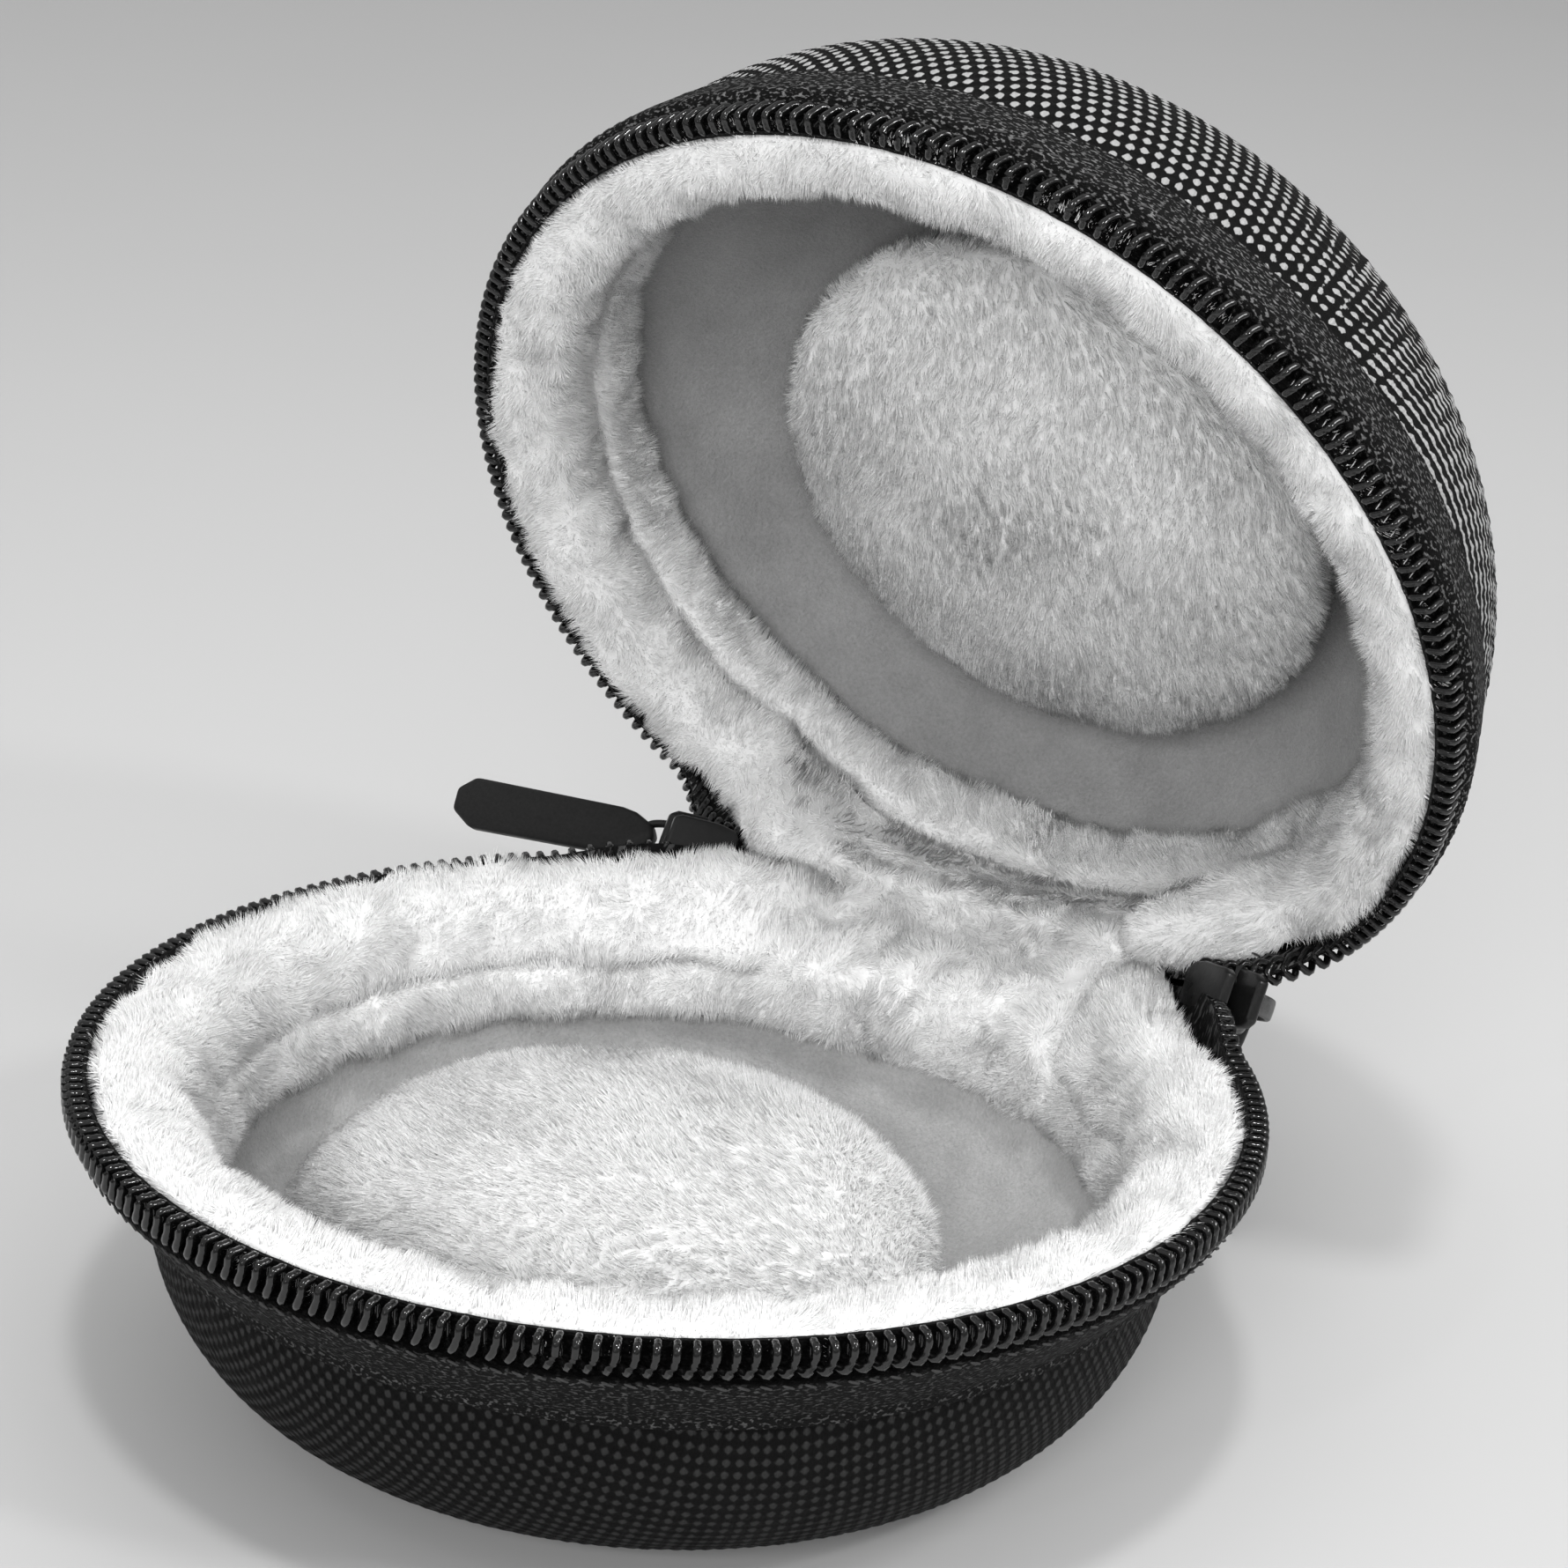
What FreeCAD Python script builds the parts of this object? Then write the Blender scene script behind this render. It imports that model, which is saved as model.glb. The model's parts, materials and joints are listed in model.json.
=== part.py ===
import FreeCAD, Part
import Sketcher
import math
import os

from FreeCAD import Placement, Rotation, Vector

# A round zip case for small audio gear: a bowl-shaped base and a domed lid of
# moulded foam, joined by a soft hinge at the back and closed by a coil zip with
# two sliders. The case stands open. +X is to the right, -Y is the front, +Z is
# up, and the origin is the centre of the flat foot under the base.
#
# Each half is drawn as a section to the right of its own axis, with its rim
# plane at height 0 and its depth below that plane. The base stands that way up;
# the lid is turned over onto it and swung open about the hinge axis.

UP = Vector(0, 0, 1)
RIGHT = Vector(1, 0, 0)
BACK = Vector(0, 1, 0)

SIZES = {
    # rim and zip
    "coil_inner": 60.0,
    "coil_outer": 62.0,
    "coil_height": 2.7,
    "cord_inner": 60.7,
    "cord_outer": 61.3,
    "cord_top": 1.1,
    "cord_bottom": 1.7,
    "zip_gap": 1.0,
    "zip_sweep": 275.0,
    "glue_gap": 0.1,
    # base shell, its cover and its lining
    "base_depth": 35.0,
    "base_kink_radius": 53.5,
    "base_kink_depth": 11.5,
    "base_corner_depth": 13.3,
    "base_corner": 21.5,
    "foot_radius": 32.0,
    "foot_pad": 31.4,
    "cover_skin": 0.8,
    "shell_wall": 2.6,
    "lining_wall": 1.3,
    "board_radius": 29.9,
    "board_height": 2.3,
    # lid shell, an ellipse below its kink
    "lid_kink_radius": 59.8,
    "lid_kink_depth": 9.0,
    "lid_rise": 42.0,
    "crown_flat": 1.5,
    # cushions
    "cushion_skin": 1.6,
    "base_cushion_radius": 36.0,
    "base_cushion_crest": 1.0,
    "base_cushion_waist": 19.0,
    "base_cushion_foot": 24.0,
    "base_cushion_floor": 29.6,
    "base_cushion_shift": -9.0,
    "lid_cushion_radius": 36.6,
    "lid_cushion_crest": 17.0,
    "lid_cushion_waist": 26.5,
    "lid_cushion_foot": 24.0,
    "lid_cushion_shoulder": 39.0,
    "lid_cushion_floor": 44.5,
    "lid_cushion_shift": 5.0,
    # hinge
    "hinge_back": 55.8,
    "hinge_drop": 18.9,
    "open_angle": 63.1,
    "middle_back": 50.7,
    "middle_drop": 14.9,
    "hinge_half_width": 26.2,
    # sliders and pulls
    "slider_angle": 35.6,
    "slider_sweep": 8.6,
    "inner_plate_in": 58.3,
    "inner_plate_out": 59.6,
    "inner_plate_half": 2.9,
    "outer_plate_in": 62.4,
    "outer_plate_out": 63.7,
    "outer_plate_half": 3.9,
    "neck_half": 0.2,
    "bridge_foot": 63.66,
    "bridge_inner": 65.9,
    "bridge_top": 66.9,
    "bridge_opening": 2.2,
    "bridge_half": 3.4,
    "bridge_width": 2.6,
    "stop_sweep": 4.0,
    "stop_angle": 28.6,
    "stop_in": 60.1,
    "stop_out": 62.2,
    "stop_half": 1.6,
    "pivot_radius": 65.0,
    "link_wire": 1.1,
    "link_length": 7.0,
    "link_half": 2.6,
    "link_hole_half": 1.8,
    "tab_start": 5.0,
    "tab_end": 33.0,
    "tab_half": 3.1,
    "tab_thickness": 2.2,
    "tab_bevel": 2.6,
    "tab_slot_half": 2.7,
    "left_pull_turn": 63.7,
    "right_pull_turn": 60.0,
    "pull_droop": 6.0,
}

doc = FreeCAD.newDocument("round_zip_case")
sheet = doc.addObject("Spreadsheet::Sheet", "sizes")
for row, (alias, number) in enumerate(SIZES.items(), start=1):
    sheet.set(f"A{row}", alias)
    sheet.set(f"B{row}", str(number))
    sheet.setAlias(f"B{row}", alias)
doc.recompute()


def measure(terms):
    """The sum of the named sizes in terms, such as 'coil_inner + shell_wall'."""
    total, sign = 0.0, 1
    for word in terms.split():
        if word in ("+", "-"):
            sign = 1 if word == "+" else -1
        else:
            total += sign * float(sheet.get(word))
    return total


def bound(terms):
    """The same sum as an expression on the sheet's cells."""
    words = terms.split()
    return " ".join(w if w in ("+", "-") else f"sizes.{w}" for w in words)


RIM_HEIGHT = measure("base_depth")

# ---------------------------------------------------------------- placements


def turn_about(axis_point, axis, degrees):
    """A turn about the line through axis_point along axis."""
    return Placement(Vector(), Rotation(axis, degrees), axis_point)


def opened(back, drop, share):
    """The swing of the open lid, or a share of it, about a soft hinge axis."""
    axis_point = Vector(0, measure(back), RIM_HEIGHT - measure(drop))
    return turn_about(axis_point, RIGHT, -share * measure("open_angle"))


FACING_FRONT = Rotation(UP, -90)
BASE_PLACE = Placement(UP * RIM_HEIGHT, FACING_FRONT)
LID_SWING = opened("hinge_back", "hinge_drop", 1.0)
LID_CLOSED = Placement(UP * (RIM_HEIGHT + measure("zip_gap")), Rotation(BACK, 180))
LID_FRAME = LID_SWING * LID_CLOSED
LID_PLACE = LID_FRAME * Placement(Vector(), FACING_FRONT)
MIDDLE_SWING = opened("middle_back", "middle_drop", 0.5)
ZIP_MIDDLE = UP * (RIM_HEIGHT + measure("zip_gap") / 2)


def shifted(place, amount):
    """The same half's placement with the piece moved towards the hinge."""
    return place * Placement(RIGHT * -measure(amount), Rotation())


def on_zip(degrees_from_back):
    """A piece drawn on +X, carried round the zip's line to its place at the back."""
    turn = Rotation(UP, 90 + degrees_from_back)
    return MIDDLE_SWING * Placement(ZIP_MIDDLE, turn)


# ---------------------------------------------------------------- sketches


def new_body(label):
    body = doc.addObject("PartDesign::Body", label)
    body.Label = label
    return body


def new_sketch(body, plane):
    origin_plane = next(f for f in body.Origin.OriginFeatures if f.Role == plane)
    sketch = body.newObject("Sketcher::SketchObject", body.Label + "_sketch")
    sketch.AttachmentSupport = [(origin_plane, "")]
    sketch.MapMode = "FlatFace"
    return sketch


def bind(sketch, constraint, terms):
    index = sketch.addConstraint(constraint)
    sketch.setExpression(f"Constraints[{index}]", bound(terms))


def pin_point(sketch, edge, end, across, down):
    """Fixes a point by its distances from the sketch's axes: '' is on the axis."""
    if across:
        value = measure(across)
        bind(sketch, Sketcher.Constraint("DistanceX", -1, 1, edge, end, value), across)
    else:
        sketch.addConstraint(Sketcher.Constraint("PointOnObject", edge, end, -2))
    if down:
        value = measure(down)
        bind(sketch, Sketcher.Constraint("DistanceY", edge, end, -1, 1, value), down)
    else:
        sketch.addConstraint(Sketcher.Constraint("PointOnObject", edge, end, -1))


def pin_centre(sketch, edge, centre):
    """Fixes an arc's centre. A circle's own two ends already fix how far down it is."""
    if sketch.Geometry[edge].TypeId != "Part::GeomArcOfCircle":
        pin_point(sketch, edge, 3, centre[0], centre[1])
    elif centre[0]:
        value = measure(centre[0])
        across = Sketcher.Constraint("DistanceX", -1, 1, edge, 3, value)
        bind(sketch, across, centre[0])
    else:
        sketch.addConstraint(Sketcher.Constraint("PointOnObject", edge, 3, -2))


def spot(corner):
    """A corner's place in its sketch: across from the axis and down from the rim."""
    across = measure(corner[0]) if corner[0] else 0.0
    down = measure(corner[1]) if corner[1] else 0.0
    return Vector(across, -down, 0)


def quarter(start, end, centre):
    """A quarter of an ellipse or circle between two corners around a centre."""
    wide = max(abs(start.x - centre.x), abs(end.x - centre.x))
    high = max(abs(start.y - centre.y), abs(end.y - centre.y))
    below = min(start.y, end.y) < centre.y
    angles = (-math.pi / 2, 0) if below else (0, math.pi / 2)
    if math.isclose(wide, high, rel_tol=1e-6):
        return Part.ArcOfCircle(Part.Circle(centre, UP, wide), *angles)
    if wide > high:
        return Part.ArcOfEllipse(Part.Ellipse(centre, wide, high), *angles)
    tall = Part.Ellipse(centre + Vector(0, high, 0), centre + Vector(-wide, 0, 0), centre)
    return Part.ArcOfEllipse(tall, *(angle - math.pi / 2 for angle in angles))


def draw_loop(sketch, corners):
    """A closed loop through corners. A corner with a third entry starts a quarter
    arc to the next one, around the centre named by that entry."""
    first = sketch.GeometryCount
    count = len(corners)
    for number, corner in enumerate(corners):
        following = corners[(number + 1) % count]
        start, end = spot(corner), spot(following)
        if len(corner) == 2:
            edge = sketch.addGeometry(Part.LineSegment(start, end))
            pin_point(sketch, edge, 1, corner[0], corner[1])
            continue
        centre = spot(corner[2])
        edge = sketch.addGeometry(quarter(start, end, centre))
        arc = sketch.Geometry[edge]
        starts_first = arc.StartPoint.distanceToPoint(start) < 1e-4
        pin_point(sketch, edge, 1 if starts_first else 2, corner[0], corner[1])
        pin_centre(sketch, edge, corner[2])
    for number in range(count):
        edge = first + number
        following = first + (number + 1) % count
        ends = []
        meeting = spot(corners[(number + 1) % count])
        for geometry in (edge, following):
            line = sketch.Geometry[geometry]
            near = line.StartPoint.distanceToPoint(meeting) < 1e-4
            ends += [geometry, 1 if near else 2]
        sketch.addConstraint(Sketcher.Constraint("Coincident", *ends))


def turned(label, corners, place, hole=None, sweep=None):
    """A body turned about its half's axis from a section, whole or part way round."""
    body = new_body(label)
    sketch = new_sketch(body, "XZ_Plane")
    draw_loop(sketch, corners)
    if hole:
        draw_loop(sketch, hole)
    turning = body.newObject("PartDesign::Revolution", label + "_turning")
    turning.Profile = sketch
    turning.ReferenceAxis = (sketch, ["V_Axis"])
    turning.Midplane = True
    if sweep:
        turning.setExpression("Angle", bound(sweep))
    else:
        turning.Angle = 360
    body.Placement = place
    return body


def fixed_section(label, numbers):
    """Corners of a soft piece's section, kept in the sheet as label_across_1 and so on."""
    corners = []
    for number, (across, down) in enumerate(numbers, start=1):
        pair = []
        for letter, value in (("across", across), ("down", down)):
            alias = f"{label}_{letter}_{number}"
            row = len(SIZES) + 1
            SIZES[alias] = value
            sheet.set(f"A{row}", alias)
            sheet.set(f"B{row}", str(value))
            sheet.setAlias(f"B{row}", alias)
            pair.append(alias)
        corners.append(tuple(pair))
    sheet.recompute()
    return corners


# ---------------------------------------------------------------- base half


def layer(name):
    """How far a layer's outer and inner faces lie inside the half's outer face."""
    skins = {
        "cover": ("", " - cover_skin"),
        "shell": (" - cover_skin - glue_gap", " - cover_skin - glue_gap - shell_wall"),
        "lining": (
            " - cover_skin - glue_gap - shell_wall - glue_gap",
            " - cover_skin - glue_gap - shell_wall - glue_gap - lining_wall",
        ),
    }
    return skins[name]


BASE_CENTRE = ("foot_radius", "base_corner_depth")
BASE_FLOOR = "base_corner_depth + base_corner"


def base_cover():
    out, into = layer("cover")
    corners = [
        ("base_kink_radius" + into, "base_kink_depth"),
        ("base_kink_radius" + out, "base_kink_depth"),
        ("base_kink_radius" + out, "base_corner_depth", BASE_CENTRE),
        ("foot_radius", BASE_FLOOR + out),
        ("foot_radius", BASE_FLOOR + into, BASE_CENTRE),
        ("base_kink_radius" + into, "base_corner_depth"),
    ]
    turned("base_cover", corners, BASE_PLACE)


def base_shell():
    out, into = layer("shell")
    corners = [
        ("base_kink_radius" + into, "base_kink_depth"),
        ("base_kink_radius" + out, "base_kink_depth"),
        ("base_kink_radius" + out, "base_corner_depth", BASE_CENTRE),
        ("foot_radius", BASE_FLOOR + out),
        ("foot_pad", BASE_FLOOR + out),
        ("foot_pad", "base_depth"),
        ("", "base_depth"),
        ("", BASE_FLOOR + into + " + board_height"),
        ("board_radius + glue_gap", BASE_FLOOR + into + " + board_height"),
        ("board_radius + glue_gap", BASE_FLOOR + into),
        ("foot_radius", BASE_FLOOR + into, BASE_CENTRE),
        ("base_kink_radius" + into, "base_corner_depth"),
    ]
    turned("base_shell", corners, BASE_PLACE)


def base_board():
    """The steel disc let into the floor of the base shell, as stiffener and weight."""
    board = doc.addObject("Part::Cylinder", "base_board")
    board.Label = "base_board"
    board.setExpression("Radius", "sizes.board_radius")
    board.setExpression("Height", "sizes.board_height - sizes.glue_gap")
    top = measure(BASE_FLOOR + layer("shell")[1])
    board.Placement = Placement(
        UP * (RIM_HEIGHT - top - measure("board_height") + measure("glue_gap") / 2),
        Rotation(),
    )


def base_lining():
    out, into = layer("lining")
    corners = [
        ("base_kink_radius" + into, "base_corner_depth"),
        ("base_kink_radius" + out, "base_corner_depth", BASE_CENTRE),
        ("foot_radius", BASE_FLOOR + out),
        ("", BASE_FLOOR + out),
        ("", BASE_FLOOR + into),
        ("foot_radius", BASE_FLOOR + into, BASE_CENTRE),
    ]
    turned("base_lining", corners, BASE_PLACE)


# ---------------------------------------------------------------- lid half


def lid_layer(label, name):
    """One skin of the lid's dome, between two ellipses about the same centre."""
    out, into = layer(name)
    centre = ("crown_flat", "lid_kink_depth")
    crown = "lid_kink_depth + lid_rise"
    corners = [
        ("lid_kink_radius" + into, "lid_kink_depth"),
        ("lid_kink_radius" + out, "lid_kink_depth", centre),
        ("crown_flat", crown + out),
        ("", crown + out),
        ("", crown + into),
        ("crown_flat", crown + into, centre),
    ]
    turned(label, corners, LID_PLACE)


# ---------------------------------------------------------------- both halves


def zip_coil(half, place):
    coil = [
        ("coil_inner", ""),
        ("coil_outer", ""),
        ("coil_outer", "coil_height"),
        ("coil_inner", "coil_height"),
    ]
    cord = [
        ("cord_inner", "cord_top"),
        ("cord_outer", "cord_top"),
        ("cord_outer", "cord_bottom"),
        ("cord_inner", "cord_bottom"),
    ]
    bore = [
        ("cord_inner - glue_gap", "cord_top - glue_gap"),
        ("cord_outer + glue_gap", "cord_top - glue_gap"),
        ("cord_outer + glue_gap", "cord_bottom + glue_gap"),
        ("cord_inner - glue_gap", "cord_bottom + glue_gap"),
    ]
    turned(half + "_coil", coil, place, hole=bore, sweep="zip_sweep")
    turned(half + "_coil_cord", cord, place, sweep="zip_sweep")


# Sections of the soft rim pieces, in millimetres: across from the axis, and down
# from the rim plane.
SOFT_SECTIONS = {
    "base": {
        "tape": [(59.6, 2.8), (61.0, 2.8), (60.4, 4.2), (53.9, 11.3), (52.7, 11.3), (59.2, 4.1)],
        "stitching": [(61.1, 3.0), (61.4, 3.0), (61.1, 3.7), (60.8, 3.7)],
        "rim_plush": [(57.9, 0.6), (57.9, 3.6), (53.7, 9.5), (51.8, 9.5), (51.4, 4.0), (53.6, 0.6)],
        "rim_foam": [(56.7, 1.8), (56.7, 3.2), (53.3, 8.2), (53.0, 8.2), (52.8, 4.2), (54.3, 1.8)],
        "wall_band": [
            (52.8, 9.7), (51.9, 11.3), (49.8, 11.3), (49.8, 13.1),
            (48.4, 13.1), (48.4, 14.8), (47.0, 14.8), (47.8, 9.7),
        ],
    },
    "lid": {
        "tape": [(60.6, 2.8), (61.8, 2.8), (62.0, 4.4), (60.2, 8.8), (59.0, 8.8), (60.8, 4.4)],
        "stitching": [(62.05, 3.6), (62.3, 3.6), (62.35, 4.3), (62.1, 4.3)],
        "rim_plush": [
            (57.7, 0.6), (57.9, 3.1), (59.3, 4.5), (57.8, 8.6), (53.6, 8.6), (52.6, 4.0), (53.6, 0.6),
        ],
        "rim_foam": [(56.6, 1.8), (57.3, 4.3), (56.7, 7.4), (54.8, 7.4), (54.0, 4.2), (54.6, 1.8)],
        "wall_band": [(54.6, 9.2), (54.4, 12.5), (53.6, 16.6), (50.6, 16.6), (51.2, 9.2)],
    },
}


def grown(loop, amount):
    """A convex loop moved outwards from its middle by amount at each corner."""
    middle_across = sum(across for across, _ in loop) / len(loop)
    middle_down = sum(down for _, down in loop) / len(loop)
    out = []
    for across, down in loop:
        reach = math.hypot(across - middle_across, down - middle_down)
        grow = 1 + amount / reach
        out.append((
            round(middle_across + (across - middle_across) * grow, 3),
            round(middle_down + (down - middle_down) * grow, 3),
        ))
    return out


def rim_pieces(half, place):
    """The zip tape, its stitching, the stuffed plush rim and the plush wall band."""
    sections = SOFT_SECTIONS[half]
    for name in ("tape", "stitching", "wall_band"):
        label = f"{half}_{name}"
        turned(label, fixed_section(label, sections[name]), place, sweep="zip_sweep")
    foam = f"{half}_rim_foam"
    plush = f"{half}_rim_plush"
    pocket = fixed_section(plush + "_pocket", grown(sections["rim_foam"], 0.12))
    turned(foam, fixed_section(foam, sections["rim_foam"]), place, sweep="zip_sweep")
    turned(plush, fixed_section(plush, sections["rim_plush"]), place, pocket, "zip_sweep")


def cushion_corners(half, skin):
    """A domed cushion's section, skin inside its outer face."""
    less = skin
    more = skin.replace("-", "+")
    radius = f"{half}_cushion_radius" + less
    waist = f"{half}_cushion_waist"
    foot = f"{half}_cushion_foot" + less
    floor = f"{half}_cushion_floor" + less
    crest = f"{half}_cushion_crest" + more
    top = [
        (radius, waist, ("crown_flat", waist)),
        ("crown_flat", crest),
        ("", crest),
        ("", floor),
    ]
    if half == "base":
        return [(foot, floor)] + top
    under = ("crown_flat", floor, ("crown_flat", "lid_cushion_shoulder"))
    return [(foot, "lid_cushion_shoulder")] + top + [under]


# ---------------------------------------------------------------- hinge


def hinge_corner(frame, corner, aside):
    """A point at the back of a half's section, turned until it stands aside by x."""
    across, down = measure(corner[0]), measure(corner[1])
    return frame.multVec(Vector(aside, math.sqrt(across ** 2 - aside ** 2), -down))


BASE_FRAME = Placement(UP * RIM_HEIGHT, Rotation())
HINGE_SECTIONS = {
    "hinge_strip": {
        "base": [(53.9, 11.0), (53.9, 12.0)],
        "lid": [(60.5, 8.4), (59.5, 8.0)],
    },
    "hinge_lining": {
        "base": [
            (45.9, 15.2), (46.4, 11.4), (49.4, 8.0), (52.4, 10.6), (48.8, 10.9), (47.6, 15.2),
        ],
        "lid": [
            (53.4, 15.6), (54.0, 8.8), (57.4, 8.2), (55.6, 6.2), (51.6, 8.0), (51.0, 15.6),
        ],
    },
}


def hinge_loop(base_corners, lid_corners, aside):
    """One closed section of a hinge piece, in a plane across X, base to lid and back."""
    base = [hinge_corner(BASE_FRAME, corner, aside) for corner in base_corners]
    lid = [hinge_corner(LID_FRAME, corner, -aside) for corner in lid_corners]
    half = len(base) // 2
    points = base[half:] + base[:half] + lid[half:] + lid[:half]
    return Part.makePolygon(points + [points[0]])


def hinge_piece(name):
    """A soft piece lofted from left to right round the back, between the two halves."""
    reach = measure("hinge_half_width")
    steps = 8
    stations = [reach * (2 * step / steps - 1) for step in range(steps + 1)]
    ends = [
        fixed_section(f"{name}_{half}", numbers)
        for half, numbers in HINGE_SECTIONS[name].items()
    ]
    piece = doc.addObject("Part::Feature", name)
    piece.Label = name
    piece.Shape = Part.makeLoft([hinge_loop(*ends, x) for x in stations], True, True)


# ---------------------------------------------------------------- sliders


def slider_body(side, degrees):
    """Two curved plates either side of the coils, joined by a thin neck."""
    plate = "outer_plate_half"
    inner = "inner_plate_half"
    body = new_body(f"slider_{side}_body")
    sketch = new_sketch(body, "XZ_Plane")
    half_section = [
        ("inner_plate_in", inner),
        ("inner_plate_out", inner),
        ("inner_plate_out", "neck_half"),
        ("outer_plate_in", "neck_half"),
        ("outer_plate_in", plate),
        ("outer_plate_out", plate),
    ]
    mirror_loop(sketch, half_section)
    turning = body.newObject("PartDesign::Revolution", f"slider_{side}_turning")
    turning.Profile = sketch
    turning.ReferenceAxis = (sketch, ["V_Axis"])
    turning.Midplane = True
    turning.setExpression("Angle", "sizes.slider_sweep")
    body.Placement = on_zip(degrees)


def mirror_loop(sketch, half_section):
    """A loop that is the same above and below the sketch's level axis."""
    lower = [(measure(a), -measure(d), a, d) for a, d in half_section]
    upper = [(x, -y, a, d) for x, y, a, d in reversed(lower)]
    loop = lower + upper
    first = sketch.GeometryCount
    for number, (x, y, a, d) in enumerate(loop):
        after = loop[(number + 1) % len(loop)]
        line = Part.LineSegment(Vector(x, y, 0), Vector(after[0], after[1], 0))
        edge = sketch.addGeometry(line)
        bind(sketch, Sketcher.Constraint("DistanceX", -1, 1, edge, 1, measure(a)), a)
        ends = (edge, 1, -1, 1) if y < 0 else (-1, 1, edge, 1)
        bind(sketch, Sketcher.Constraint("DistanceY", *ends, measure(d)), d)
    for number in range(len(loop)):
        following = first + (number + 1) % len(loop)
        joint = Sketcher.Constraint("Coincident", first + number, 2, following, 1)
        sketch.addConstraint(joint)


def padded(body, sketch, thickness):
    pad = body.newObject("PartDesign::Pad", body.Label + "_pad")
    pad.Profile = sketch
    pad.Midplane = True
    pad.setExpression("Length", bound(thickness))
    return pad


def slider_bridge(side, degrees):
    """The arch on the slider's outer plate that holds the pull's link."""
    body = new_body(f"slider_{side}_bridge")
    sketch = new_sketch(body, "XY_Plane")
    mirror_loop(sketch, [
        ("bridge_foot", "bridge_opening"),
        ("bridge_foot", "bridge_half"),
        ("bridge_inner", "bridge_half"),
        ("bridge_top", "bridge_opening"),
    ])
    padded(body, sketch, "bridge_width")
    opening = new_sketch(body, "XY_Plane")
    mirror_loop(opening, [
        ("outer_plate_in", "bridge_opening"),
        ("bridge_inner", "bridge_opening"),
    ])
    pocket = body.newObject("PartDesign::Pocket", body.Label + "_opening")
    pocket.Profile = opening
    pocket.Type = "ThroughAll"
    pocket.Midplane = True
    body.Placement = on_zip(degrees)


def pull_place(degrees, turn):
    """A pull drawn along +X from its pin, turned and drooping at its slider."""
    pin = Placement(RIGHT * measure("pivot_radius"), Rotation(UP, turn))
    droop = Placement(Vector(), Rotation(BACK, measure("pull_droop")))
    return on_zip(degrees) * pin * droop


def pull_link(side, place):
    """A flat wire loop with its pin under the slider's bridge."""
    body = new_body(f"pull_{side}_link")
    sketch = new_sketch(body, "XZ_Plane")
    frame_loop(sketch, "link_wire", "link_length", "link_half", True)
    padded(body, sketch, "link_wire")
    window = new_sketch(body, "XZ_Plane")
    frame_loop(window, "link_wire", "link_length - link_wire", "link_hole_half", False)
    pocket = body.newObject("PartDesign::Pocket", body.Label + "_window")
    pocket.Profile = window
    pocket.Type = "ThroughAll"
    pocket.Midplane = True
    body.Placement = place


def frame_loop(sketch, near, far, half, around_pin):
    """A rectangle from the pin outwards: it takes in the pin, or starts past it."""
    start = measure(near) / 2 * (-1 if around_pin else 1)
    end, side = measure(far), measure(half)
    spots = [
        Vector(start, -side, 0),
        Vector(end, -side, 0),
        Vector(end, side, 0),
        Vector(start, side, 0),
    ]
    first = sketch.GeometryCount
    for number in range(4):
        sketch.addGeometry(Part.LineSegment(spots[number], spots[(number + 1) % 4]))
    for number in range(4):
        following = first + (number + 1) % 4
        joint = Sketcher.Constraint("Coincident", first + number, 2, following, 1)
        sketch.addConstraint(joint)
    for number in (0, 2):
        sketch.addConstraint(Sketcher.Constraint("Horizontal", first + number))
    for number in (1, 3):
        sketch.addConstraint(Sketcher.Constraint("Vertical", first + number))
    bind(sketch, Sketcher.Constraint("DistanceX", -1, 1, first + 1, 1, end), far)
    bind(sketch, Sketcher.Constraint("DistanceY", first, 1, -1, 1, side), half)
    bind(sketch, Sketcher.Constraint("DistanceY", -1, 1, first + 2, 1, side), half)
    points = (first, 1, -1, 1) if around_pin else (-1, 1, first, 1)
    near_pin = Sketcher.Constraint("DistanceX", *points, abs(start))
    index = sketch.addConstraint(near_pin)
    sketch.setExpression(f"Constraints[{index}]", bound(near) + " / 2")


def pull_tab(side, place):
    """The flat moulded pull, bevelled at its tip, with a slot for the link."""
    body = new_body(f"pull_{side}_tab")
    sketch = new_sketch(body, "XZ_Plane")
    mirror_loop(sketch, [
        ("tab_start", "tab_half"),
        ("tab_end - tab_bevel", "tab_half"),
        ("tab_end", "tab_half - tab_bevel + link_wire"),
    ])
    padded(body, sketch, "tab_thickness")
    slot = new_sketch(body, "XZ_Plane")
    mirror_loop(slot, [
        ("link_length - link_wire - glue_gap", "tab_slot_half"),
        ("link_length + glue_gap", "tab_slot_half"),
    ])
    pocket = body.newObject("PartDesign::Pocket", body.Label + "_slot")
    pocket.Profile = slot
    pocket.Type = "ThroughAll"
    pocket.Midplane = True
    body.Placement = place


def zip_stop(side, degrees):
    """The folded end of the zip's tapes, which stops the slider at the back."""
    body = new_body(f"zip_stop_{side}")
    sketch = new_sketch(body, "XZ_Plane")
    mirror_loop(sketch, [("stop_in", "stop_half"), ("stop_out", "stop_half")])
    turning = body.newObject("PartDesign::Revolution", f"zip_stop_{side}_turning")
    turning.Profile = sketch
    turning.ReferenceAxis = (sketch, ["V_Axis"])
    turning.Midplane = True
    turning.setExpression("Angle", "sizes.stop_sweep")
    body.Placement = on_zip(degrees)


# ---------------------------------------------------------------- assembly


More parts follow.
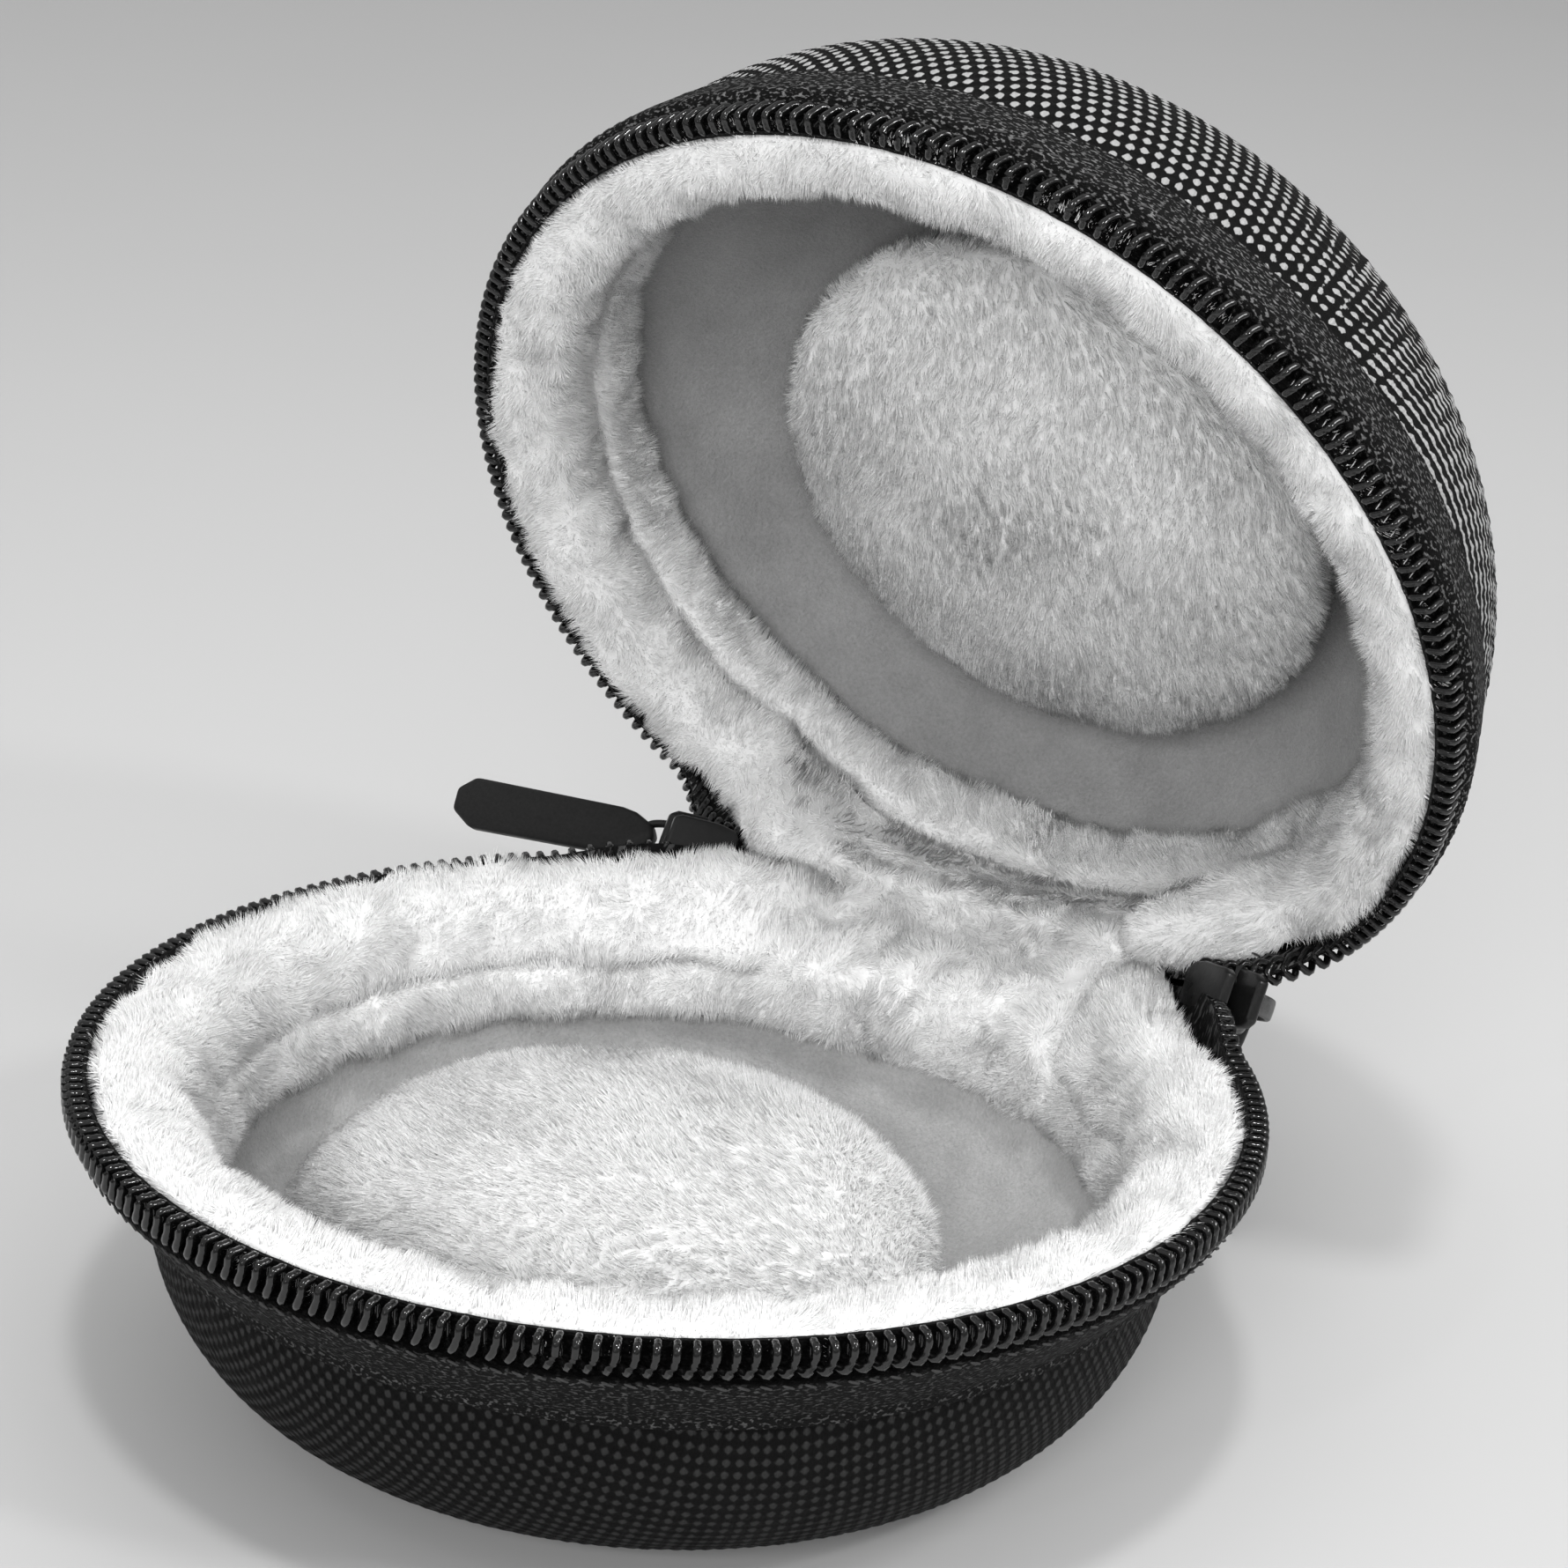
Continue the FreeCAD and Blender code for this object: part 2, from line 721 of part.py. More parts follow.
def build():
    base_cover()
    base_shell()
    base_board()
    base_lining()
    for name in ("cover", "shell", "lining"):
        lid_layer("lid_" + name, name)
    for half, place in (("base", BASE_PLACE), ("lid", LID_PLACE)):
        zip_coil(half, place)
        rim_pieces(half, place)
        where = shifted(place, f"{half}_cushion_shift")
        pocket = cushion_corners(half, " - cushion_skin")
        core = cushion_corners(half, " - cushion_skin - glue_gap")
        turned(f"{half}_cushion_plush", cushion_corners(half, ""), where, pocket)
        turned(f"{half}_cushion_foam", core, where)
    hinge_piece("hinge_strip")
    hinge_piece("hinge_lining")
    for side, way in (("left", 1), ("right", -1)):
        angle = way * measure("slider_angle")
        slider_body(side, angle)
        slider_bridge(side, angle)
        zip_stop(side, way * measure("stop_angle"))
        turn = measure(f"{side}_pull_turn")
        place = pull_place(angle, turn)
        pull_link(side, place)
        pull_tab(side, place)


def nodes():
    """The document's finished sub-parts, each with a label of its own."""
    kinds = ("PartDesign::Body", "Part::Cylinder", "Part::Feature")
    return [o for o in doc.Objects if o.TypeId in kinds]


def check_and_write():
    doc.recompute()
    for item in doc.Objects:
        if {"Invalid", "Error"} & set(item.State):
            raise RuntimeError(f"{item.Label} failed: {item.State}")
    os.makedirs("parts", exist_ok=True)
    for item in nodes():
        if item.Shape.isNull() or not item.Shape.isValid():
            raise RuntimeError(f"{item.Label} has no valid shape")
        item.Shape.exportStep(f"parts/{item.Label}.step")
        print(f"{item.Label}: {item.Shape.Volume:.0f} mm3, {len(item.Shape.Solids)} solid")


build()
check_and_write()
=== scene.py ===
import json
import math

import bmesh
import bpy
import numpy as np
from mathutils import Matrix, Vector
from mathutils.kdtree import KDTree


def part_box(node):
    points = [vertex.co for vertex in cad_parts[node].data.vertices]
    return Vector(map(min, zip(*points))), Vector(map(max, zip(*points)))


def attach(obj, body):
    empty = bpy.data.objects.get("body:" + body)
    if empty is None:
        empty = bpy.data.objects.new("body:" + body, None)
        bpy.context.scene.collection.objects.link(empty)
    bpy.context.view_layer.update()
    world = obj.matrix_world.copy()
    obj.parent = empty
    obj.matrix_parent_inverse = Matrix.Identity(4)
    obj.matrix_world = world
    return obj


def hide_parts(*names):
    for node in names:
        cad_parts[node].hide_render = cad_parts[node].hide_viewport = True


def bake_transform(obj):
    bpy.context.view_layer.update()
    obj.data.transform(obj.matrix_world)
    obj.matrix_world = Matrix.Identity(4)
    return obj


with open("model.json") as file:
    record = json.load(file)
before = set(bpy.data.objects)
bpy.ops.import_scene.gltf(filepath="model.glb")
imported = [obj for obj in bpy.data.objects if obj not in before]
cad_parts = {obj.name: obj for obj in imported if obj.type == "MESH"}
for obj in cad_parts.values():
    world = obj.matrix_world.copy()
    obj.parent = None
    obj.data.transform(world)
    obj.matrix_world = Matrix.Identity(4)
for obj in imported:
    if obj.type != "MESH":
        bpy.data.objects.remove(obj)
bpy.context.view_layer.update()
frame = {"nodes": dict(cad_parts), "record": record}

# A round zip case, open. Lengths are millimetres unless a name or a comment says
# otherwise. A place on a half is given as its distance across from the half's axis,
# its turn about that axis (from the back, positive to the left), and its distance
# down from the half's rim plane, into the half.

MM = 0.001
JOINTS = {joint["name"]: joint for joint in frame["record"]["behaviour"]["joints"]}
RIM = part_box("base_coil")[1][2] / MM  # height of the base's rim plane
GAP = 1.0  # between the two rim planes when the case is shut
RIM_RADIUS = 60
OPEN = math.radians(-JOINTS["lid_fold"]["range_deg"][0])
LID_AXIS = np.array(JOINTS["lid_fold"]["pos_m"]) / MM
MIDDLE_AXIS = np.array(JOINTS["hinge_middle_fold"]["pos_m"]) / MM


# ---------------------------------------------------------------- placing


def swing(points, pivot, angle):
    """Points of the closed case, carried back about a hinge axis along X."""
    y, z = points[..., 1] - pivot[1], points[..., 2] - pivot[2]
    c, s = math.cos(angle), math.sin(angle)
    swung = [points[..., 0], y * c + z * s + pivot[1], z * c - y * s + pivot[2]]
    return np.stack(swung, -1)


def ring(across, turn, height):
    """Points at a distance and an angle (radians, from the back) about the axis."""
    across, turn, height = np.broadcast_arrays(across, turn, height)
    return np.stack([-across * np.sin(turn), across * np.cos(turn), height], -1).astype(float)


def on_base(across, turn, down):
    return ring(across, turn, RIM - down)


def on_lid(across, turn, down):
    return swing(ring(across, turn, RIM + GAP + down), LID_AXIS, OPEN)


def on_middle(across, turn, up):
    """On the zip's own line, half way between the halves."""
    return swing(ring(across, turn, RIM + GAP / 2 + up), MIDDLE_AXIS, OPEN / 2)


ON = {"base": on_base, "lid": on_lid}
TOWARDS = {"base": -1, "lid": 1}


def smooth(low, high, value):
    t = np.clip((value - low) / (high - low), 0, 1)
    return t * t * (3 - 2 * t)


def from_back(turn):
    """Degrees from the back, positive to the left, within half a turn."""
    return np.degrees((turn + math.pi) % (2 * math.pi) - math.pi)


def off_hinge(turn):
    """Degrees away from the back, whichever side."""
    return np.abs(from_back(turn))


# Where the two coils meet: how far a rim point draws in, and how far it stands off.
ZIP_INWARD, ZIP_STANDOFF = 0.6, 0.3
# Degrees off the hinge at which a rim point leaves its half, and joins the middle line.
ZIP_PARTING = (49.0, 31.5)
ROLL_PARTING = (46.0, 25.0)


def along_zip(half, across, turn, down, share=1.0, parting=ZIP_PARTING):
    """A rim point that leaves its half near the hinge and joins the zip's middle line."""
    leaves, joins = parting
    near = share * (1 - smooth(joins, leaves, off_hinge(turn)))
    own = ON[half](across, turn, down)
    up = TOWARDS[half] * (np.asarray(down) + ZIP_STANDOFF)
    middle = on_middle(np.asarray(across) - ZIP_INWARD, turn, up)
    return own + (middle - own) * np.asarray(near)[..., None]


# Degrees over which each stuffed rim thins out, on the left and on the right.
ROLL_ENDS = {"base": ((14, 25), (22, 33)), "lid": ((20, 31), (23, 31))}
ROLL_HEART, ROLL_THINNEST = 57.0, 0.25
ROLL_SINK = 0.5
SLIDER_ROOM = 1.7


def roll_left(half, turn):
    """How much of the stuffed rim is left at an angle: it thins out behind the gusset."""
    (left_low, left_high), (right_low, right_high) = ROLL_ENDS[half]
    signed = from_back(turn)
    return np.where(signed > 0, smooth(left_low, left_high, signed),
                    smooth(right_low, right_high, -signed))


def roll_place(half, across, turn, down):
    """The stuffed rim keeps inside the zip, so the sliders stand clear of it."""
    width = ROLL_THINNEST + (1 - ROLL_THINNEST) * roll_left(half, turn)
    near = 1 - smooth(40.0, 52.0, off_hinge(turn))
    across = ROLL_HEART + (across - ROLL_HEART) * width - near * SLIDER_ROOM
    share = 1 - 0.8 * smooth(2.5, 9.0, np.asarray(down))
    return along_zip(half, across, turn, down + ROLL_SINK, share, ROLL_PARTING)


def curve_through(points, count):
    """A smooth line through points, in equal steps."""
    steps_between = 24
    points = np.array(points, float)
    padded = np.vstack([2 * points[0] - points[1], points, 2 * points[-1] - points[-2]])
    fine = []
    for a, b, c, d in zip(padded, padded[1:], padded[2:], padded[3:]):
        for t in np.linspace(0, 1, steps_between, endpoint=False):
            fine.append(0.5 * (2 * b + (c - a) * t
                               + (2 * a - 5 * b + 4 * c - d) * t ** 2
                               + (3 * b - a - 3 * c + d) * t ** 3))
    fine = np.array(fine + [points[-1]])
    reach = np.concatenate([[0], np.cumsum(np.linalg.norm(np.diff(fine, axis=0), axis=1))])
    steps = np.linspace(0, reach[-1], count)
    return np.stack([np.interp(steps, reach, fine[:, k]) for k in range(fine.shape[1])], -1)


def waves(points, seed, size, count=9):
    """A smooth wandering number for each point, about -1 to 1, with bumps of a size in mm."""
    rng = np.random.default_rng(seed)
    total = np.zeros(points.shape[:-1])
    for _ in range(count):
        way = rng.normal(size=3)
        way *= 2 * math.pi / size / np.linalg.norm(way) * rng.uniform(0.6, 1.6)
        total += np.sin(points @ way + rng.uniform(0, 6.3))
    return total / math.sqrt(count)


# ---------------------------------------------------------------- meshes


def add_object(name, data):
    made = bpy.data.objects.new(name, data)
    bpy.context.scene.collection.objects.link(made)
    return made


def shade_smooth(mesh):
    mesh.polygons.foreach_set("use_smooth", np.ones(len(mesh.polygons), bool))


def new_piece(name, points, faces, material, attributes=None):
    """A mesh from points in mm and an array of faces that all have as many corners."""
    mesh = bpy.data.meshes.new(name)
    faces = np.asarray(faces, np.int32)
    count, corners = faces.shape
    mesh.vertices.add(len(points))
    mesh.vertices.foreach_set("co", (np.asarray(points) * MM).astype(np.float32).ravel())
    mesh.loops.add(count * corners)
    mesh.loops.foreach_set("vertex_index", faces.ravel())
    mesh.polygons.add(count)
    starts = np.arange(0, count * corners, corners, dtype=np.int32)
    mesh.polygons.foreach_set("loop_start", starts)
    shade_smooth(mesh)
    mesh.update(calc_edges=True)
    for key, values in (attributes or {}).items():
        values = np.asarray(values, np.float32)
        if values.ndim == 1:
            mesh.attributes.new(key, "FLOAT", "POINT").data.foreach_set("value", values)
        else:
            held = mesh.attributes.new(key, "FLOAT_VECTOR", "POINT")
            held.data.foreach_set("vector", values.ravel())
    piece = add_object(name, mesh)
    mesh.materials.append(material)
    return piece


def grid_faces(rows, columns, wrap_rows, wrap_columns):
    """Four-cornered faces over a grid of points, closed on itself where it wraps."""
    i = np.arange(rows if wrap_rows else rows - 1)[:, None]
    j = np.arange(columns if wrap_columns else columns - 1)[None, :]
    a, b = i * columns, (i + 1) % rows * columns
    k = (j + 1) % columns
    return np.stack([a + j, a + k, b + k, b + j], -1).reshape(-1, 4)


def grid_piece(name, points, material, wrap_rows=False, wrap_columns=False,
               **attributes):
    """A piece from a grid of points, with a value at each point for each attribute."""
    rows, columns = points.shape[:2]
    flat = {key: np.asarray(v).reshape(rows * columns, *np.shape(v)[2:])
            for key, v in attributes.items()}
    faces = grid_faces(rows, columns, wrap_rows, wrap_columns)
    piece = new_piece(name, points.reshape(-1, 3), faces, material, flat)
    tidy(piece)
    return piece


SAME_POINT = 2e-6  # metres


def tidy(piece):
    """Joins points that meet and turns every face outwards."""
    work = bmesh.new()
    work.from_mesh(piece.data)
    bmesh.ops.remove_doubles(work, verts=work.verts, dist=SAME_POINT)
    bmesh.ops.recalc_face_normals(work, faces=work.faces)
    work.to_mesh(piece.data)
    work.free()


def turns(count):
    """Equal steps round a whole turn, in radians."""
    return np.radians(np.linspace(0.0, 360.0, count, endpoint=False))


OFF_EVERY_PATH = [0.31, 0.17, 0.94]


def tube(name, path, radius, sides, material):
    """A round wire along an open path of points."""
    ahead = np.gradient(path, axis=0)
    ahead /= np.linalg.norm(ahead, axis=1)[:, None]
    side = np.cross(ahead, OFF_EVERY_PATH)
    side /= np.linalg.norm(side, axis=1)[:, None]
    other = np.cross(ahead, side)
    around = turns(sides)
    c, s = (wave(around)[None, :, None] for wave in (np.cos, np.sin))
    rings = path[:, None] + radius * (c * side[:, None] + s * other[:, None])
    ends = np.stack([np.repeat(path[:1], sides, 0), np.repeat(path[-1:], sides, 0)])
    rings = np.concatenate([ends[:1], rings, ends[1:]])
    return grid_piece(name, rings, material, wrap_columns=True)


HAIRS = 62000
HAIR_WIDTH = 0.068
HAIR_LENGTHS = (0.75, 1.15)
HAIR_CORNERS = (0.0, 2.094, 4.189)
CLUMP_SHARE = 0.035
TIP_SHADES = (0.86, 1.0)
# The roots of each hair are given a darker tone than its tip: painted shade deep in the pile.
# The skin under the pile is given a darker tone: painted shade in the gaps between hairs.
SPECK_SHADE, ROOT_PAINTED_SHADE, SKIN_PAINTED_SHADE = 0.6, 0.8, 0.7
ROOT_DEPTH = 0.15


def spikes(name, roots, tips, seed, specks=0.04):
    """Pile: one fine three-sided hair from each root to its tip."""
    rng = np.random.default_rng(seed)
    way = tips - roots
    length = np.linalg.norm(way, axis=1)[:, None]
    side = np.cross(way / length, rng.normal(size=way.shape))
    side /= np.linalg.norm(side, axis=1)[:, None]
    other = np.cross(way / length, side)
    count = len(roots)
    corners = [roots + HAIR_WIDTH * (math.cos(a) * side + math.sin(a) * other)
               for a in HAIR_CORNERS]
    points = np.stack(corners + [tips], 1).reshape(-1, 3)
    first = np.arange(count)[:, None] * 4
    faces = np.stack([first + [0, 1, 3], first + [1, 2, 3], first + [2, 0, 3]], 1)
    shade = rng.uniform(*TIP_SHADES, count)
    shade = shade * np.where(rng.random(count) < specks, SPECK_SHADE, 1.0)
    # Darker roots than tips: painted shade from the hairs around them.
    tone = np.stack([shade * ROOT_PAINTED_SHADE] * 3 + [shade], 1).ravel()
    return new_piece(name, points, faces.reshape(-1, 3), PLUSH, {"tone": tone})


def clumped(roots, tips, size, pull, seed):
    """Tips drawn together into clumps about size mm apart."""
    rng = np.random.default_rng(seed)
    count = max(8, int(len(roots) * CLUMP_SHARE / size))
    centres = rng.choice(len(roots), count, replace=False)
    tree = KDTree(len(centres))
    for number, centre in enumerate(centres):
        tree.insert(roots[centre], number)
    tree.balance()
    nearest = centres[[tree.find(root)[1] for root in roots]]
    held = rng.uniform(0.5, 1.0, len(roots))[:, None]
    return tips + (tips[nearest] - tips) * pull * held


# ---------------------------------------------------------------- materials


class Shader:
    """A material built node by node."""

    def __init__(self, name, **settings):
        self.material = bpy.data.materials.new(name)
        self.material.use_nodes = True
        self.tree = self.material.node_tree
        self.shader = self.tree.nodes["Principled BSDF"]
        for socket, value in settings.items():
            self.shader.inputs[socket.replace("_", " ")].default_value = value

    def node(self, kind, inputs=(), output=0, **settings):
        made = self.tree.nodes.new("ShaderNode" + kind)
        for key, value in settings.items():
            setattr(made, key, value)
        for socket, value in dict(inputs).items():
            if isinstance(value, bpy.types.NodeSocket):
                self.tree.links.new(value, made.inputs[socket])
            else:
                made.inputs[socket].default_value = value
        return made.outputs[output]

    def math(self, operation, a, b=0.0, c=0.0):
        return self.node("Math", {0: a, 1: b, 2: c}, operation=operation)

    def place(self):
        return self.node("TexCoord", output="Object")

    def threads(self):
        """Millimetres along the warp and the weft, and a third number of the piece's own."""
        return self.node("Attribute", output="Vector", attribute_name="threads")

    def noise(self, scale, detail=3.0, roughness=0.6, vector=None):
        return self.node("TexNoise", {"Vector": vector or self.place(), "Scale": scale,
                                      "Detail": detail, "Roughness": roughness})

    def ramp(self, value, dark, light, low=0.3, high=0.7, **settings):
        """A number from dark to light as value, mostly a noise, goes from low to high."""
        return self.node("MapRange", {"Value": value, "From Min": low, "From Max": high,
                                      "To Min": dark, "To Max": light}, **settings)

    def grey(self, value):
        colour = self.node("CombineColor", {0: value, 1: value, 2: value})
        self.tree.links.new(colour, self.shader.inputs["Base Color"])

    def rough(self, value):
        self.tree.links.new(value, self.shader.inputs["Roughness"])

    def bump(self, height, distance):
        normal = self.node("Bump", {"Height": height, "Distance": distance * MM,
                                    "Strength": 1.0}, output="Normal")
        self.tree.links.new(normal, self.shader.inputs["Normal"])


def plush_material(name, light, mottle):
    """Pile, coloured by each hair's own tone, which is darker at the roots and on the skin
    beneath as painted shade.
    """
    made = Shader(name, Roughness=0.9, Sheen_Weight=0.25, Sheen_Roughness=0.6)
    tone = made.node("Attribute", output="Fac", attribute_name="tone")
    patch = made.ramp(made.noise(160.0), light * (1 - mottle), light)
    made.grey(made.math("MULTIPLY", tone, patch))
    made.rough(made.ramp(made.noise(900.0), 0.82, 0.98))
    made.bump(made.noise(2600.0, 2.0), 0.12)
    return made.material


def short_pile_material(name, light):
    """Cloth with a pile too short to be modelled hair by hair."""
    made = Shader(name, Roughness=0.95, Sheen_Weight=0.3)
    cloud = made.noise(75.0, 4.0, 0.65)
    fine = made.noise(2400.0, 3.0, 0.7)
    base = made.ramp(cloud, light * 0.75, light)
    made.grey(made.math("MULTIPLY", base, made.ramp(fine, 0.82, 1.1)))
    made.rough(made.ramp(fine, 0.85, 1.0))
    made.bump(made.math("ADD", fine, made.noise(700.0)), 0.25)
    return made.material


WEAVE = {"base": 1.03, "lid": 1.34}  # from one crossing of the yarns to the next
ROPE_TILT = (0.94, 0.34)
ROPE_WIDTH = 1.15


def woven_material(name, dot, dark, size, low, high):
    """Black yarn with a lighter one that shows as diamonds where it crosses over.

    Where the third of the threads' numbers is 1, the diamonds run together into
    slanting ropes. A crossing shows lighter as its height goes from low to high.
    """
    made = Shader(name, Roughness=0.6, Specular_IOR_Level=0.1)
    threads = made.threads()
    wobble = made.noise(1.6, 2.0, vector=threads)
    warp, weft, ropes = (made.node("SeparateXYZ", {0: threads}, k) for k in range(3))
    crests = [
        made.math("COSINE", made.math("MULTIPLY", along, math.pi / size))
        for along in (warp, weft)
    ]
    dots = made.math("MULTIPLY", *crests)
    slant = made.math("ADD", made.math("MULTIPLY", weft, ROPE_TILT[0]),
                      made.math("MULTIPLY", warp, ROPE_TILT[1]))
    rope = made.math("COSINE",
                     made.math("MULTIPLY", slant, 2 * math.pi / (size * ROPE_WIDTH)))
    twisted = made.math("MULTIPLY_ADD", rope, 0.75, made.math("MULTIPLY", dots, 0.3))
    crossing = made.node("Mix", {0: ropes, 2: dots, 3: twisted})
    fibre = made.noise(14.0, 2.0, vector=threads)
    edge = made.math("ADD", crossing, made.ramp(wobble, -0.2, 0.2))
    shown = made.ramp(edge, 0.0, 1.0, low, high, interpolation_type="SMOOTHSTEP")
    lit = made.math("MULTIPLY", shown, made.ramp(fibre, dot * 0.6, dot))
    made.grey(made.math("ADD", lit, made.ramp(fibre, dark * 0.6, dark, 0.35)))
    made.rough(made.ramp(fibre, 0.5, 0.8))
    lean = made.math("SUBTRACT", warp, weft)
    ply = made.math("SINE", made.math("MULTIPLY", lean, math.pi / size * 3))
    relief = made.math("ADD", made.math("MULTIPLY", crossing, 0.8),
                       made.math("MULTIPLY", ply, 0.25))
    made.bump(made.math("ADD", relief, fibre), 0.3)
    return made.material


# Across the tape: up to the first value it is painted near-black as shade under the coil, and
# past the second it shows its specks.
UNDER_COIL = (3.2, 3.8)


def tape_material(name, light):
    """Black knitted tape with lighter specks, which stop short of the coil: near-black there
    as painted shade under the loops.
    """
    made = Shader(name, Roughness=0.7, Specular_IOR_Level=0.06)
    threads = made.threads()
    along = made.node("Mapping", {0: threads, 3: (1.0, 0.5, 1.0)})
    speck = made.noise(3.1, 2.0, 0.5, along)
    broken = made.noise(0.7, 3.0, 0.6, threads)
    lit = made.ramp(speck, 0.006, light, 0.52, 0.64, interpolation_type="SMOOTHSTEP")
    across = made.node("SeparateXYZ", {0: threads}, 0)
    # Painted shade: near-black under the coil, with full specks clear of it.
    bare = made.ramp(across, 0.04, 1.0, *UNDER_COIL)
    # The painted shade under the coil, times random patches in the yarn.
    shade_and_patches = made.math("MULTIPLY", bare, made.ramp(broken, 0.6, 1.2, 0.35, 0.65))
    made.grey(made.math("MULTIPLY", lit, shade_and_patches))
    made.rough(made.ramp(broken, 0.55, 0.85))
    made.bump(speck, 0.35)
    return made.material


def hard_material(name, light, roughness, grain, metal=0.0, coat=0.0, shine=0.5):
    """Moulded plastic, rubber, thread or painted metal."""
    made = Shader(name, Metallic=metal, Coat_Weight=coat, Coat_Roughness=0.1,
                  Specular_IOR_Level=shine)
    fine = made.noise(grain, 4.0)
    made.grey(made.ramp(fine, light * 0.75, light * 1.2))
    made.rough(made.ramp(made.noise(grain * 0.2), roughness * 0.8, roughness * 1.25))
    made.bump(fine, 0.03)
    return made.material


PLUSH = plush_material("plush_pile", 0.95, 0.06)
LID_WEAVE = woven_material("lid_woven_cloth", 0.66, 0.009, WEAVE["lid"], 0.22, 0.42)
BASE_WEAVE = woven_material("base_woven_cloth", 0.045, 0.008, WEAVE["base"], 0.0, 0.7)
TAPE = {"lid": tape_material("lid_knitted_tape", 0.12),
        "base": tape_material("base_knitted_tape", 0.06)}
# The lid's short pile is a darker grey than the base's: the cloth's own grey, with painted
# shade for the inside of the lid.
SHORT = {"lid": short_pile_material("lid_short_pile_cloth", 0.28),
         "base": short_pile_material("base_short_pile_cloth", 0.5)}
COIL = hard_material("coil_plastic", 0.003, 0.15, 1500.0, coat=0.35, shine=0.45)
THREAD = hard_material("stitch_thread", 0.03, 0.7, 6000.0)
RUBBER = hard_material("pull_rubber", 0.01, 0.42, 2500.0, shine=0.25)
BLACK = hard_material("slider_black", 0.008, 0.3, 1800.0, coat=0.2, shine=0.3)
GREY = hard_material("bridge_grey", 0.12, 0.34, 1800.0, metal=0.8)


# ---------------------------------------------------------------- outer cloth


def woven_shell(half, outline, inside, material, relief):
    """A half's cloth: fine rows of woven relief outside, and a plain inner face."""
    rows, inner_rows = (92), 12
    outer = curve_through(outline, rows)
    inner = curve_through(inside, inner_rows)[::-1]
    around = turns(640)
    lengths = np.linalg.norm(np.diff(outer[::-1], axis=0), axis=1)
    reach = np.concatenate([[0], np.cumsum(lengths)])[::-1][:, None]
    warp, weft = reach * np.cos(around), reach * np.sin(around)
    size = WEAVE[half]
    crossing = np.cos(math.pi * warp / size) * np.cos(math.pi * weft / size)
    slope = np.gradient(outer, axis=0)
    slope /= np.linalg.norm(slope, axis=1)[:, None]
    height = smooth(6, 14, outer[:, 0])
    if half == "base":
        height = height * smooth(34.9, 33.0, outer[:, 1])
    lift = relief * crossing * height[:, None]
    across = outer[:, :1] + lift * slope[:, 1:]
    down = outer[:, 1:] - lift * slope[:, :1]
    cloth = ON[half](across, around[None], down)
    lining = ON[half](inner[:, :1], around[None], inner[:, 1:])
    points = np.concatenate([cloth, lining])
    side = from_back(around)
    ropes = 0 * side
    if half == "lid":
        ropes = smooth(-150, -108, side) * smooth(-20, -60, side)
    threads = np.stack([warp, weft, 0 * warp + ropes], -1)
    hidden = np.zeros(lining.shape)
    piece = grid_piece(half + "_woven_cover", points, material, True, True,
                       threads=np.concatenate([threads, hidden]))
    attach(piece, half)
    return piece


def arc_points(centre, wide, high, count, start=0.0, end=90.0):
    """Places across and down on part of an ellipse, between two angles in degrees."""
    angles = np.radians(np.linspace(start, end, count))
    return [(centre[0] + wide * math.cos(a), centre[1] + high * math.sin(a)) for a in angles]


def bowl(radius, count, start):
    """The base's rounded corner, at one depth in its wall."""
    return arc_points((32, 13.3), radius, radius, count, start, 88)


def crown(wide, high, count, start=0.0, end=90.0):
    """The lid's dome, at one depth in its wall."""
    return arc_points((1.5, 9.0), wide, high, count, start, end)


base_outline = [(53.5, 11.3), *bowl(21.5, 14, 4), (30.5, 34.95), (20, 35.0), (10, 35.0),
                (0, 35.0)]
base_inside = [(52.6, 11.4), *bowl(20.6, 8, 4), (15, 34.0), (0, 34.0)]
base_cloth = woven_shell("base", base_outline, base_inside, BASE_WEAVE, 0.1)
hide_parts("base_cover", "base_shell", "base_board")

lid_outline = [*crown(58.3, 43.4, 22), (0, 52.4)]
lid_inside = [*crown(57.4, 41.1, 12), (0, 50.1)]
lid_cloth = woven_shell("lid", lid_outline, lid_inside, LID_WEAVE, 0.13)
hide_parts("lid_cover", "lid_shell")


def lining(half, outline, node, seed):
    """The short pile that faces the hollow, on a slightly uneven sheet."""
    face = curve_through(outline, 70)
    back = curve_through([(r + 0.8 if r > 1 else r, d + 0.6) for r, d in outline], 10)[::-1]
    around = turns(240)
    front = ON[half](face[:, :1], around[None], face[:, 1:])
    uneven = waves(front, seed, 9.0) * 0.14 + waves(front, seed + 1, 2.6) * 0.05
    inward = smooth(3, 20, face[:, :1])
    front = ON[half](face[:, :1] - uneven * inward, around[None], face[:, 1:] - uneven)
    points = np.concatenate([front, ON[half](back[:, :1], around[None], back[:, 1:])])
    piece = grid_piece(half + "_short_pile", points, SHORT[half], True, True)
    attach(piece, half)
    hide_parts(node)


lining("base", [(50.2, 10.5), (48.9, 12.4), *bowl(16.6, 10, 3), (15, 29.9), (0, 29.9)],
       "base_lining", 11)
lining("lid", [(55.0, 8.0), *crown(53.2, 37.1, 16, 2, 89), (0, 46.1)], "lid_lining", 12)


# ---------------------------------------------------------------- zip


TAPE_WIDTH = 16
BACK_ROWS = 8


def fade(profile_share):
    """How far the tape follows the zip: wholly at the coil, not at all at the cloth."""
    return 1 - smooth(0.0, 1.0, profile_share)


